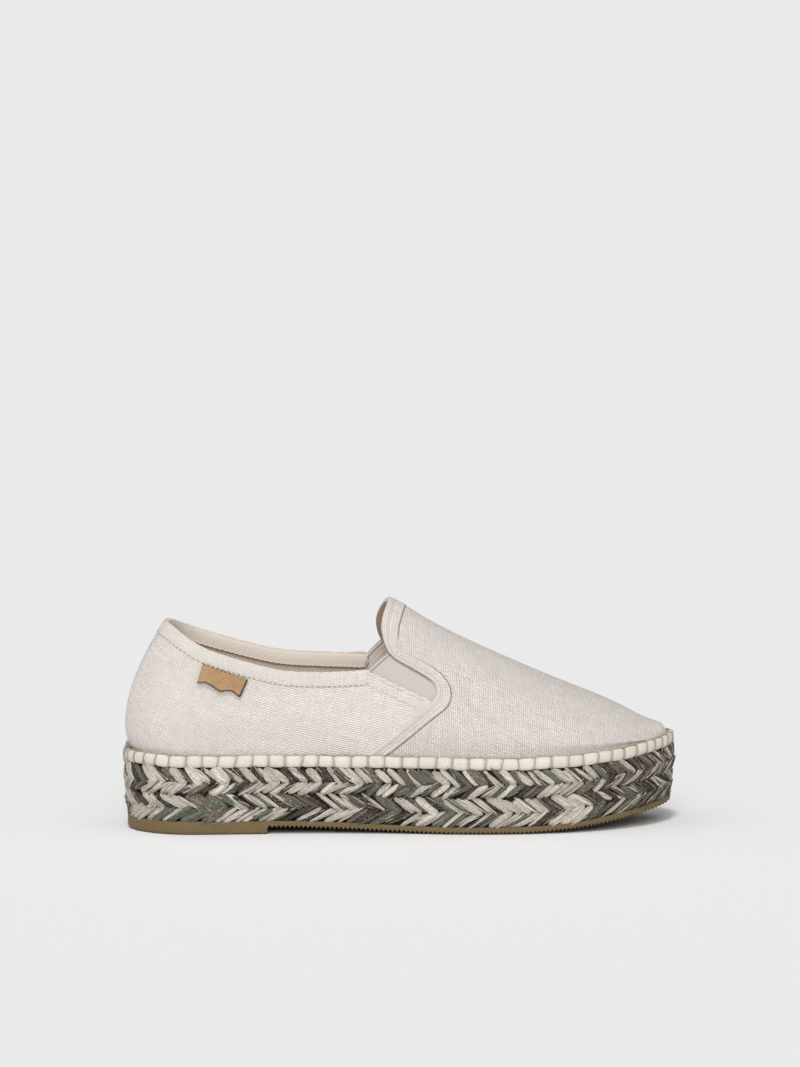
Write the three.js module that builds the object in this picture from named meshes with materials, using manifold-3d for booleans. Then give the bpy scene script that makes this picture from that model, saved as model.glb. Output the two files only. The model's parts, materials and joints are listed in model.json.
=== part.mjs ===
// A right-foot platform espadrille, built the way it is made: a rubber outsole, a jute platform wrapped in two
// braids, an insole, a canvas upper stitched down inside a piping cord, two elastic gores and a leather heel tab.
// Millimetres, +Z up, toe towards +X, the shoe's outer side towards -Y. The sole stands on z = 0.
import * as THREE from "three";
import { mergeVertices } from "three/addons/utils/BufferGeometryUtils.js";
import Module from "manifold-3d";

// Driving sizes. "at" always means the distance forward from the back of the heel.
const LENGTH = 262; // platform, heel to toe
const GAP = 0.3; // clearance between neighbouring pieces
const HEEL_ROUND = 34; // length of the rounded heel end
const TOE_ROUND = 60; // length of the rounded toe end
const STATIONS = 44; // sections along the shoe, closest together at its ends
const ARCH_STEPS = 12; // steps up each side of a section
const FOOT_CROWDING = 1.5; // over 1 sets those steps closer together beside the sole

// Sole stack
const OUTSOLE_THICKNESS = 3.4;
const HEEL_BLOCK_LENGTH = 66.4;
const HEEL_LIFT = 2.8; // extra height of the heel over the ball
const ARCH_END = 158; // where the underside meets the ground again
const TOE_SPRING = { from: 180, rise: 10, power: 1.7 };
const INSOLE_THICKNESS = 2.8;
const OUTSOLE_INSET = 2; // how far each edge stands inside the widest outline
const PIPING = { inset: 0.5, width: 3, height: 5.4 };

// Upper
const WALL = 1.8; // canvas with its lining
const FEATHER_INSET = 4; // outer face of the upper where it meets the sole
const HEEL_BULGE = { out: 3.4, height: 50, lean: 0.029, power: 1.7, fade: 80 };
const SIDE_BULGE = { share: 0.04, top: 0.45 };
const TOE_NOSE = 4; // rounding of the upper at the toe tip
const GORE = { recess: 0.5, thickness: 1.0 };
const TAB = { thickness: 1.1 };

// Plan of the platform: half-widths on either side of a spine that bends inwards at the toe.
const PLAN = [
  { at: 0, spine: 0, outer: 34.5, inner: 33.5 },
  { at: 45, spine: 0, outer: 34.5, inner: 33.5 },
  { at: 85, spine: 0.5, outer: 34.5, inner: 32.5 },
  { at: 120, spine: 1, outer: 38, inner: 33 },
  { at: 155, spine: 1, outer: 43.5, inner: 37.5 },
  { at: 185, spine: 2.5, outer: 46, inner: 42.5 },
  { at: 215, spine: 5, outer: 44.5, inner: 43 },
  { at: 262, spine: 9, outer: 38, inner: 38 },
];

// Height of the jute's top edge over the ground.
const TOPLINE = [
  { at: 0, height: 31.5 },
  { at: 60, height: 31 },
  { at: 110, height: 30.7 },
  { at: 150, height: 30.1 },
  { at: 190, height: 30 },
  { at: 215, height: 31.1 },
  { at: 240, height: 33.6 },
  { at: 262, height: 36.9 },
];

// Sections of the upper: height of the closed form over the middle, and how square its shoulders are. Behind the
// throat the form goes on up past the collar, where the opening cuts it off.
const SECTIONS = [
  { at: 0, ridge: 116, fullness: 2.6 },
  { at: 70, ridge: 117, fullness: 2.6 },
  { at: 112, ridge: 112, fullness: 2.5 },
  { at: 130, ridge: 104.7, fullness: 2.3 },
  { at: 147, ridge: 95.2, fullness: 2.2 },
  { at: 165, ridge: 86.1, fullness: 2.1 },
  { at: 200, ridge: 70.4, fullness: 2.1 },
  { at: 235, ridge: 56.1, fullness: 2.2 },
  { at: 262, ridge: 45, fullness: 2.2 },
];

// Edge of the opening seen from the side, heel to tongue; tilt raises the inner side, in mm per mm of width.
const COLLAR = [
  { at: 12, height: 99.5, tilt: 0.02 },
  { at: 22, height: 97, tilt: 0.04 },
  { at: 27, height: 94.2, tilt: 0.06 },
  { at: 33, height: 91, tilt: 0.08 },
  { at: 40, height: 88, tilt: 0.1 },
  { at: 50, height: 84.8, tilt: 0.1 },
  { at: 61, height: 81.6, tilt: 0.1 },
  { at: 75, height: 78.5, tilt: 0.1 },
  { at: 93, height: 77.5, tilt: 0.09 },
  { at: 114, height: 77.6, tilt: 0.055 },
];
const TONGUE = [
  { at: 123, height: 85.2, tilt: 0.05 },
  { at: 121, height: 89.6, tilt: 0.03 },
  { at: 120.1, height: 94.6, tilt: 0 },
  { at: 121.4, height: 100.5, tilt: 0 },
  { at: 126.5, height: 110, tilt: 0 },
];

// Window that the elastic fills: along the vamp's edge, round the front, back along the quarter's edge, and up
// into the opening, whose own edge then trims the elastic's free end.
const GORE_WINDOW = [
  { at: 114, height: 75.4, tilt: 0 },
  { at: 124, height: 70.4, tilt: 0 },
  { at: 133, height: 66.2, tilt: 0 },
  { at: 142, height: 61.8, tilt: 0 },
  { at: 144.9, height: 66.2, tilt: 0 },
  { at: 144.9, height: 69.6, tilt: 0 },
  { at: 136.3, height: 75, tilt: 0 },
  { at: 131, height: 78, tilt: 0 },
  { at: 126.4, height: 81, tilt: 0.02 },
  { at: 123, height: 85.2, tilt: 0.05 },
  { at: 120, height: 87.6, tilt: 0.05 },
  { at: 114, height: 83, tilt: 0.05 },
];

// Heel tab on the outer side: its top edge follows the collar's seam, and its lower edge is a soft wave.
const TAB_OUTLINE = { from: 37, to: 57.6, below: 7.2, depth: 8.2, slant: 3, tilt: 0.1, wave: 1.1 };

// ---- Curves ----

// Smooth curve through one column of a table, as a function of the distance from the heel.
function column(rows, name) {
  const slope = (i) => {
    const [a, b] = [rows[Math.max(i - 1, 0)], rows[Math.min(i + 1, rows.length - 1)]];
    return (b[name] - a[name]) / (b.at - a.at);
  };
  return (at) => {
    let i = rows.findIndex((row) => row.at > at) - 1;
    if (i === -2) i = rows.length - 2;
    i = Math.max(i, 0);
    const [a, b] = [rows[i], rows[i + 1]];
    const span = b.at - a.at;
    const t = THREE.MathUtils.clamp((at - a.at) / span, 0, 1);
    const bend = t * t * (3 - 2 * t);
    return a[name] + (b[name] - a[name]) * bend
      + slope(i) * span * t * (1 - t) ** 2 - slope(i + 1) * span * t * t * (1 - t);
  };
}

const spine = column(PLAN, "spine");
const halfWidth = { [-1]: column(PLAN, "outer"), 1: column(PLAN, "inner") };
const ridge = column(SECTIONS, "ridge");
const fullness = column(SECTIONS, "fullness");

const quarterRound = (distance, length) =>
  distance >= length ? 1 : Math.sqrt(Math.max(0, 1 - (1 - distance / length) ** 2));
const stationAt = (station) => (LENGTH * (1 - Math.cos(Math.PI * station))) / 2;

// ---- Sole surfaces, as heights over the ground ----

const heelRise = (at) => HEEL_LIFT * THREE.MathUtils.smoothstep(-at, -ARCH_END, -HEEL_BLOCK_LENGTH);
const toeSpring = (at) =>
  TOE_SPRING.rise * (Math.max(0, at - TOE_SPRING.from) / (LENGTH - TOE_SPRING.from)) ** TOE_SPRING.power;
const outsoleTop = (at) => OUTSOLE_THICKNESS + heelRise(at) + toeSpring(at);
const platformTop = column(TOPLINE, "height");

// ---- Plan outline ----

// Point of the platform's outline; side is -1 on the outer side and 1 on the inner side.
function rawOutline(station, side) {
  const at = stationAt(station);
  const ends = quarterRound(at, HEEL_ROUND) * quarterRound(LENGTH - at, TOE_ROUND);
  return new THREE.Vector2(at, spine(at) + side * halfWidth[side](at) * ends);
}

// The same outline moved inwards along its own normal.
function outline(station, side, inset) {
  const here = rawOutline(station, side);
  if (station <= 0 || station >= 1) {
    here.x += station <= 0 ? inset : -inset;
    return here;
  }
  const step = Math.min(1e-3, station / 2, (1 - station) / 2);
  const along = rawOutline(station + step, side).sub(rawOutline(station - step, side)).normalize();
  return here.add(new THREE.Vector2(along.y, -along.x).multiplyScalar(side * inset));
}

// ---- Form of the upper ----

// Point on the closed form. arch runs from -1, the outer feather edge, over the ridge at 0, to 1, the inner one.
function formPoint(station, arch) {
  const side = arch < 0 ? -1 : 1;
  const outer = outline(station, -1, FEATHER_INSET);
  const inner = outline(station, 1, FEATHER_INSET);
  const middle = outer.clone().add(inner).multiplyScalar(0.5);
  const base = side < 0 ? outer : inner;
  const foot = platformTop(middle.x) + GAP;
  const nose = quarterRound(LENGTH - FEATHER_INSET - middle.x, TOE_NOSE);
  const turn = ((1 - Math.abs(arch)) ** FOOT_CROWDING * Math.PI) / 2;
  const up = Math.sin(turn) ** (2 / fullness(middle.x));
  const clear = (PIPING.height + GAP) / (ridge(middle.x) - foot);
  const rise = THREE.MathUtils.clamp((up - clear) / (SIDE_BULGE.top - clear), 0, 1);
  const bulge = Math.sin(Math.PI * rise) ** 2;
  const out = Math.max(0, Math.cos(turn)) ** (2 / 2.1) * (1 + SIDE_BULGE.share * bulge);
  const height = foot + (ridge(middle.x) - foot) * nose * up;
  const fade = Math.max(0, 1 - middle.x / HEEL_BULGE.fade) ** 1.5;
  const x = THREE.MathUtils.lerp(middle.x, base.x, out) + heelLean(height) * fade;
  return new THREE.Vector3(x, THREE.MathUtils.lerp(middle.y, base.y, out), height);
}

// How far the back of the heel leans forward at a height: a bulge low down, then a curve forward to the collar.
function heelLean(height) {
  const { out, height: widest, lean, power } = HEEL_BULGE;
  const rise = height - widest;
  const low = -rise / (widest - platformTop(0) - PIPING.height - 2 * GAP);
  return (rise < 0 ? out * Math.min(low, 1) ** 3 : lean * rise ** power) - out;
}

// Outward normal of the form, from small steps along it and across it.
function formNormal(station, arch) {
  const step = 1e-3;
  const [back, front] = [Math.max(station - step, 0), Math.min(station + step, 1)];
  const [low, high] = [Math.max(arch - step, -1), Math.min(arch + step, 1)];
  const along = formPoint(front, arch).sub(formPoint(back, arch));
  const across = formPoint(station, high).sub(formPoint(station, low));
  const normal = along.cross(across);
  if (station <= 0 || station >= 1) normal.y = 0;
  if (normal.lengthSq() < 1e-12) normal.set(station < 0.5 ? -1 : 1, 0, 0);
  return normal.normalize();
}

// ---- Closed geometries ----

// Closed body through rings of equal length; each ring is a polygon and the end rings are lines or points.
function loft(rings) {
  const count = rings[0].length;
  const positions = rings.flat().flatMap((p) => [p.x, p.y, p.z]);
  const index = [];
  for (let i = 0; i + 1 < rings.length; i++) {
    for (let j = 0; j < count; j++) {
      const [a, b] = [i * count + j, i * count + ((j + 1) % count)];
      index.push(a, b, b + count, a, b + count, a + count);
    }
  }
  return welded(positions, index);
}

// Merges points that coincide and drops the triangles that collapse.
function welded(positions, index) {
  const raw = new THREE.BufferGeometry();
  raw.setAttribute("position", new THREE.Float32BufferAttribute(positions, 3));
  raw.setIndex(index);
  const merged = mergeVertices(raw, 1e-3);
  const old = merged.index.array;
  const kept = [];
  for (let i = 0; i < old.length; i += 3) {
    const [a, b, c] = [old[i], old[i + 1], old[i + 2]];
    if (a !== b && b !== c && c !== a) kept.push(a, b, c);
  }
  merged.setIndex(kept);
  return merged;
}

// The upper's form, grown by offset along its normals. With skirt, its open underside runs on down by that much.
function form(offset, skirt = 0) {
  const rings = [];
  for (let i = 0; i <= STATIONS; i++) {
    const station = i / STATIONS;
    const ring = [];
    for (let j = -ARCH_STEPS; j <= ARCH_STEPS; j++) {
      const arch = j / ARCH_STEPS;
      const point = formPoint(station, arch).addScaledVector(formNormal(station, arch), offset);
      if (Math.abs(j) === ARCH_STEPS) point.z = formPoint(station, arch).z;
      ring.push(point);
    }
    const drop = new THREE.Vector3(0, 0, skirt);
    if (skirt) ring.unshift(ring[0].clone().sub(drop));
    if (skirt) ring.push(ring[ring.length - 1].clone().sub(drop));
    rings.push(ring);
  }
  return loft(rings);
}

// A plate with the shoe's outline. levels run upwards, each with an inset and a height as a function of "at".
function plate(levels) {
  const rings = [];
  for (let i = 0; i <= STATIONS; i++) {
    const edge = (side) => levels.map(({ inset, height }) => {
      const p = outline(i / STATIONS, side, inset);
      return new THREE.Vector3(p.x, p.y, height(p.x));
    });
    rings.push([...edge(-1), ...edge(1).reverse()]);
  }
  return loft(rings);
}

// A closed ring that follows the outline, with a section of {inset, lift} points over the platform's top.
function outlineRing(section) {
  const stations = [];
  for (let i = 0; i <= STATIONS; i++) stations.push([i / STATIONS, -1]);
  for (let i = STATIONS - 1; i >= 1; i--) stations.push([i / STATIONS, 1]);
  const rings = stations.map(([station, side]) => section.map(({ inset, lift }) => {
    const p = outline(station, side, inset);
    return new THREE.Vector3(p.x, p.y, platformTop(p.x) + lift);
  }));
  return loft([...rings, rings[0]]);
}

// Prism across the shoe from an outline of {at, height, tilt} points seen from the side. Its walls are ruled from
// one depth to the next, so a changing tilt stays smooth.
function sidePrism(outlinePoints, depths) {
  const flat = (rows) => rows.map((p) => new THREE.Vector2(p.at, p.height));
  const clockwise = THREE.ShapeUtils.isClockWise(flat(outlinePoints));
  const points = clockwise ? outlinePoints.slice().reverse() : outlinePoints;
  const count = points.length;
  const wall = (y) => points.map(({ at, height, tilt }) => new THREE.Vector3(at, y, height + tilt * y));
  const positions = depths.flatMap(wall).flatMap((p) => [p.x, p.y, p.z]);
  const last = (depths.length - 1) * count;
  const triangles = THREE.ShapeUtils.triangulateShape(flat(points), []);
  const index = triangles.flatMap(([a, b, c]) => [a, b, c, last + c, last + b, last + a]);
  for (let level = 0; level < last; level += count) {
    for (let i = 0; i < count; i++) {
      const [a, b] = [level + i, level + ((i + 1) % count)];
      index.push(b, a, a + count, b, a + count, b + count);
    }
  }
  return welded(positions, index);
}

// The same closed outline with every side moved inwards by a distance; the rows run counter-clockwise.
function shrunk(rows, distance) {
  const point = (i) => new THREE.Vector2(rows[(i + rows.length) % rows.length].at,
    rows[(i + rows.length) % rows.length].height);
  const inward = (i) => {
    const along = point(i + 1).sub(point(i)).normalize();
    return new THREE.Vector2(-along.y, along.x);
  };
  return rows.map((row, i) => {
    const [before, after] = [inward(i - 1), inward(i)];
    const reach = before.add(after).multiplyScalar(distance / (1 + before.clone().dot(after)));
    return { ...row, at: row.at + reach.x, height: row.height + reach.y };
  });
}

// Smooth line through rows, as more rows.
function through(rows, steps) {
  const line = (name) => new THREE.SplineCurve(rows.map((r) => new THREE.Vector2(r.at, r[name]))).getPoints(steps);
  const [heights, tilts] = [line("height"), line("tilt")];
  return heights.map((p, i) => ({ at: p.x, height: p.y, tilt: tilts[i].y }));
}

// ---- Solids ----

const wasm = await Module();
wasm.setup();

function solid(geometry) {
  const made = new wasm.Manifold(new wasm.Mesh({
    numProp: 3,
    vertProperties: geometry.attributes.position.array,
    triVerts: new Uint32Array(geometry.index.array),
  }));
  if (made.volume() > 0) return made;
  const flipped = geometry.clone();
  flipped.setIndex([...geometry.index.array].reverse());
  return solid(flipped);
}

function geometryOf(manifold) {
  const { vertProperties, triVerts } = manifold.getMesh();
  const geometry = new THREE.BufferGeometry();
  geometry.setAttribute("position", new THREE.BufferAttribute(vertProperties, 3));
  geometry.setIndex(new THREE.BufferAttribute(triVerts, 1));
  return geometry;
}

const ACROSS = [-60, -36, -30, -24, -16, 0, 16, 24, 30, 36, 60]; // depths that reach past both sides of the shoe
const OUTER_SIDE = ACROSS.filter((y) => y < 0);
const INNER_SIDE = ACROSS.filter((y) => y > 0);
const cut = (points) => solid(sidePrism(points, ACROSS));

function piece(name, manifold, { color, roughness }) {
  const geometry = geometryOf(manifold).toNonIndexed();
  geometry.computeVertexNormals();
  const mesh = new THREE.Mesh(geometry, new THREE.MeshStandardMaterial({ color, roughness, metalness: 0 }));
  mesh.name = name;
  return mesh;
}

const FINISH = {
  canvas: { color: 0xe2dad4, roughness: 0.9 },
  elastic: { color: 0xd5cec9, roughness: 0.7 },
  jute: { color: 0x8d867b, roughness: 0.95 },
  cord: { color: 0xe6ddd2, roughness: 0.75 },
  rubber: { color: 0x7e6b4c, roughness: 0.5 },
  lining: { color: 0xd8cfc2, roughness: 0.85 },
  leather: { color: 0xb28e6a, roughness: 0.6 },
};

// Rubber unit: a thin sheet under the whole foot, with a thicker block under the heel and a raised arch.
function outsole() {
  const edge = { bottom: -1, softened: 1.6 };
  const body = solid(plate([
    { inset: OUTSOLE_INSET + 1.2, height: () => edge.bottom },
    { inset: OUTSOLE_INSET + 0.9, height: (at) => outsoleTop(at) - OUTSOLE_THICKNESS + 0.1 },
    { inset: OUTSOLE_INSET, height: (at) => outsoleTop(at) - edge.softened },
    { inset: OUTSOLE_INSET, height: outsoleTop },
  ]));
  const sweep = 24;
  const under = [];
  for (let i = 0; i <= sweep; i++) {
    const at = THREE.MathUtils.lerp(HEEL_BLOCK_LENGTH, LENGTH + 10, i / sweep);
    const height = Math.max(0, outsoleTop(at) - OUTSOLE_THICKNESS);
    under.push({ at, height, tilt: 0 });
  }
  const ground = [{ at: HEEL_BLOCK_LENGTH, height: 0 }, { at: -10, height: 0 }, { at: -10, height: -9 },
    { at: LENGTH + 10, height: -9 }].map((p) => ({ ...p, tilt: 0 }));
  return body.subtract(cut([...under, ...ground.reverse()]));
}

// Jute platform: two braids wrapped one above the other round the core, each swelling a little.
function platform() {
  const profile = [
    { share: 0, inset: 2.4 }, { share: 0.08, inset: 1.8 }, { share: 0.27, inset: 1.1 }, { share: 0.47, inset: 1.1 },
    { share: 0.53, inset: 0.9 }, { share: 0.75, inset: 0 }, { share: 0.93, inset: 0 }, { share: 1, inset: 0.8 },
  ];
  return solid(plate(profile.map(({ share, inset }) => ({
    inset,
    height: (at) => THREE.MathUtils.lerp(outsoleTop(at) + GAP, platformTop(at), share),
  }))));
}

// Piping cord that hides the seam between upper and platform, a flattened round in section.
function piping() {
  const sides = 8;
  const section = [];
  for (let i = 0; i < sides; i++) {
    const angle = ((i + 0.5) / sides) * Math.PI * 2;
    section.push({
      inset: PIPING.inset + (PIPING.width / 2) * (1 + THREE.MathUtils.clamp(1.15 * Math.cos(angle), -1, 1)),
      lift: GAP + (PIPING.height / 2) * (1 + THREE.MathUtils.clamp(1.08 * Math.sin(angle), -1, 1)),
    });
  }
  return solid(outlineRing(section));
}

function insole() {
  const inset = FEATHER_INSET + WALL + GAP;
  const from = (at) => platformTop(at) + GAP;
  return solid(plate([
    { inset, height: from },
    { inset, height: (at) => from(at) + INSOLE_THICKNESS - 0.8 },
    { inset: inset + 0.8, height: (at) => from(at) + INSOLE_THICKNESS },
  ]));
}

const opening = [
  { at: -20, height: 150, tilt: 0 }, { at: -20, height: COLLAR[0].height, tilt: COLLAR[0].tilt },
  ...through(COLLAR, 27), ...through(TONGUE, 12), { at: 130, height: 150, tilt: 0 },
];
// Canvas upper: one wall over the whole form, open at the collar and throat, underneath, and where the gores sit.
function upper() {
  return solid(form(0)).subtract(solid(form(-WALL, 8))).subtract(cut(opening)).subtract(cut(GORE_WINDOW));
}

// Elastic gore on one side: a thinner wall sunk in the upper's window, clear of its edges.
function gore(side) {
  const band = solid(form(-GORE.recess)).subtract(solid(form(-GORE.recess - GORE.thickness, 8)));
  const window = solid(sidePrism(shrunk(GORE_WINDOW, GAP), side < 0 ? OUTER_SIDE : INNER_SIDE));
  return band.intersect(window).subtract(cut(opening));
}

// Leather tab that hangs from the collar's seam on the outer side of the heel.
function heelTab() {
  const { from, to, below, depth, slant, tilt, wave } = TAB_OUTLINE;
  const collar = column(COLLAR, "height");
  const seam = (at) => collar(at) - below;
  const steps = 8;
  const [top, bottom] = [[], []];
  for (let i = 0; i <= steps; i++) {
    const share = i / steps;
    const at = THREE.MathUtils.lerp(from, to, share);
    top.push({ at, height: seam(at), tilt });
    const ripple = wave * Math.sin(share * 4 * Math.PI) * Math.sin(share * Math.PI) ** 0.5;
    bottom.push({ at: at - slant, height: seam(at) - depth + ripple, tilt });
  }
  const band = solid(form(GAP + TAB.thickness)).subtract(solid(form(GAP)));
  return band.intersect(solid(sidePrism([...top, ...bottom.reverse()], OUTER_SIDE)));
}

// ---- Assembly ----

const shoe = new THREE.Group();
shoe.add(
  piece("outsole", outsole(), FINISH.rubber),
  piece("jute_platform", platform(), FINISH.jute),
  piece("piping", piping(), FINISH.cord),
  piece("insole", insole(), FINISH.lining),
  piece("upper", upper(), FINISH.canvas),
  piece("gore_outer", gore(-1), FINISH.elastic),
  piece("gore_inner", gore(1), FINISH.elastic),
  piece("heel_tab", heelTab(), FINISH.leather),
);

// The origin is the middle of the shoe's footprint on the ground.
const box = new THREE.Box3().setFromObject(shoe);
shoe.position.set(-(box.min.x + box.max.x) / 2, -(box.min.y + box.max.y) / 2, 0);

export default shoe;
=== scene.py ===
"""A right-foot platform espadrille: canvas upper, elastic gores, braided jute platform, rubber outsole.

Sizes are millimetres in the shoe's own frame (x forward from the back of the heel, y towards the inner side,
z up from the ground). Every mesh is moved into the row frame, in metres, when it is built.
"""

import json
import logging
import math
from collections.abc import Callable, Sequence
from dataclasses import dataclass
from enum import Enum

import bmesh
import bpy
import numpy as np
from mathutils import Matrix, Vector

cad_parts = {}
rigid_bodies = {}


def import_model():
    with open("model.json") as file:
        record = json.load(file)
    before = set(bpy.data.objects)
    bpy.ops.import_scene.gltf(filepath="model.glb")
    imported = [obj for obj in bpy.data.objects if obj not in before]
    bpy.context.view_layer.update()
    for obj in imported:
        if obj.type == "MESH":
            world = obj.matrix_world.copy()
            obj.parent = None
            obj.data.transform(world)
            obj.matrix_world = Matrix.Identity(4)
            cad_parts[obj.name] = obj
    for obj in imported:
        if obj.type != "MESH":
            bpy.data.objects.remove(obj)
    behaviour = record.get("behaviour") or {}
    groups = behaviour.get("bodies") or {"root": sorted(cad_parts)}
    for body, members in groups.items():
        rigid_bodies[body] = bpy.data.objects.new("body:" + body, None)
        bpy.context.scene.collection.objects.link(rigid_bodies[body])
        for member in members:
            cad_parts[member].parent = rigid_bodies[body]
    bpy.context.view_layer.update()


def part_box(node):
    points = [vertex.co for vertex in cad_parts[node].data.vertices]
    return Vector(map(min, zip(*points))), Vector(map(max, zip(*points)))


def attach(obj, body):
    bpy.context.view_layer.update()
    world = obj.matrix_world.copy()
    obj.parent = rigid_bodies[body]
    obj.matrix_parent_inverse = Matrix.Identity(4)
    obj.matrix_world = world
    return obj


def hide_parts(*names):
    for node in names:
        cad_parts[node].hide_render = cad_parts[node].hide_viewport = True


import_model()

LOG = logging.getLogger("espadrille")
MM = 0.001
BODY = "root"
UP = np.array([0.0, 0.0, 1.0])
SIDEWAYS = np.array([0.0, 1.0, 0.0])
Row = tuple[float, ...]
Colour = tuple[float, float, float]
Array = np.ndarray
Piece = bpy.types.Object
Material = bpy.types.Material


# ---- Curves and the last ----


@dataclass(frozen=True)
class Curve:
    """Smooth curve through (distance from the heel, value) pairs, held level past its ends."""

    pairs: tuple[Row, ...]

    def __call__(self, at: Array | float) -> Array:
        """Values of the curve.

        Args:
            at: distances from the back of the heel.

        Returns:
            The value at each distance.
        """
        x, y = np.array(self.pairs, float).T
        rise = np.append(y[1:], y[-1]) - np.append(y[0], y[:-1])
        run = np.append(x[1:], x[-1]) - np.append(x[0], x[:-1])
        slope = rise / run
        i = np.clip(np.searchsorted(x, at, side="right") - 1, 0, len(x) - 2)
        span = x[i + 1] - x[i]
        t = np.clip((at - x[i]) / span, 0, 1)
        bend = t * t * (3 - 2 * t)
        lean = slope[i] * span * t * (1 - t) ** 2 - slope[i + 1] * span * t * t * (1 - t)
        return y[i] + (y[i + 1] - y[i]) * bend + lean


def quarter_round(distance: Array, length: float) -> Array:
    """Height of a quarter circle of this length, as a share, at a distance from its start."""
    return np.sqrt(np.clip(1 - (1 - np.clip(distance / length, 0, 1)) ** 2, 0, 1))


def smooth(value: Array | float, start: float, end: float) -> Array:
    """Soft step from 0 at start to 1 at end, which may be the lower of the two."""
    t = np.clip((value - start) / (end - start), 0, 1)
    return t * t * (3 - 2 * t)


def unit(vectors: Array) -> Array:
    """The same vectors with length 1."""
    return vectors / np.maximum(np.linalg.norm(vectors, axis=-1, keepdims=True), 1e-9)


def run_length(points: Array) -> Array:
    """Distance along each line of points from its first one; the last two axes are the points and x, y, z."""
    steps = np.linalg.norm(np.diff(points, axis=-2), axis=-1)
    return np.concatenate([np.zeros_like(steps[..., :1]), np.cumsum(steps, axis=-1)], axis=-1)


def between(places: Array, along: Array, rows: Array) -> Array:
    """Rows at these places, from rows at known distances."""
    return np.stack([np.interp(places, along, column) for column in rows.T], axis=1)


def lattice(first: Array, second: Array) -> Array:
    """Every pair of the two lists, as (first, second, 2)."""
    return np.stack(np.meshgrid(first, second, indexing="ij"), axis=-1)


def heading(azimuth: float, height: float) -> Vector:
    """Unit direction from the shoe towards an azimuth and a height, in degrees."""
    turn, tilt = math.radians(azimuth), math.radians(height)
    return Vector((math.sin(turn) * math.cos(tilt), -math.cos(turn) * math.cos(tilt), math.sin(tilt)))


def placed(name: str, data: bpy.types.ID | None) -> Piece:
    """A new object in the scene."""
    made = bpy.data.objects.new(name, data)
    bpy.context.scene.collection.objects.link(made)
    return made


def even_line(points: Array, step: float) -> Array:
    """A line drawn again with points an even step apart.

    Args:
        points: rows of coordinates and anything else that goes with them.
        step: distance between the new points, measured on the first two columns.

    Returns:
        The new rows.
    """
    along = run_length(points[:, :2])
    places = np.linspace(0, along[-1], max(int(round(along[-1] / step)), 2) + 1)
    return between(places, along, points)


def softened(points: Array, rounds: int) -> Array:
    """A line with its corners rounded by averaging neighbours, its two ends kept."""
    line = points.copy()
    for _ in range(rounds):
        line[1:-1] = (line[:-2] + 2 * line[1:-1] + line[2:]) / 4
    return line


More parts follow.
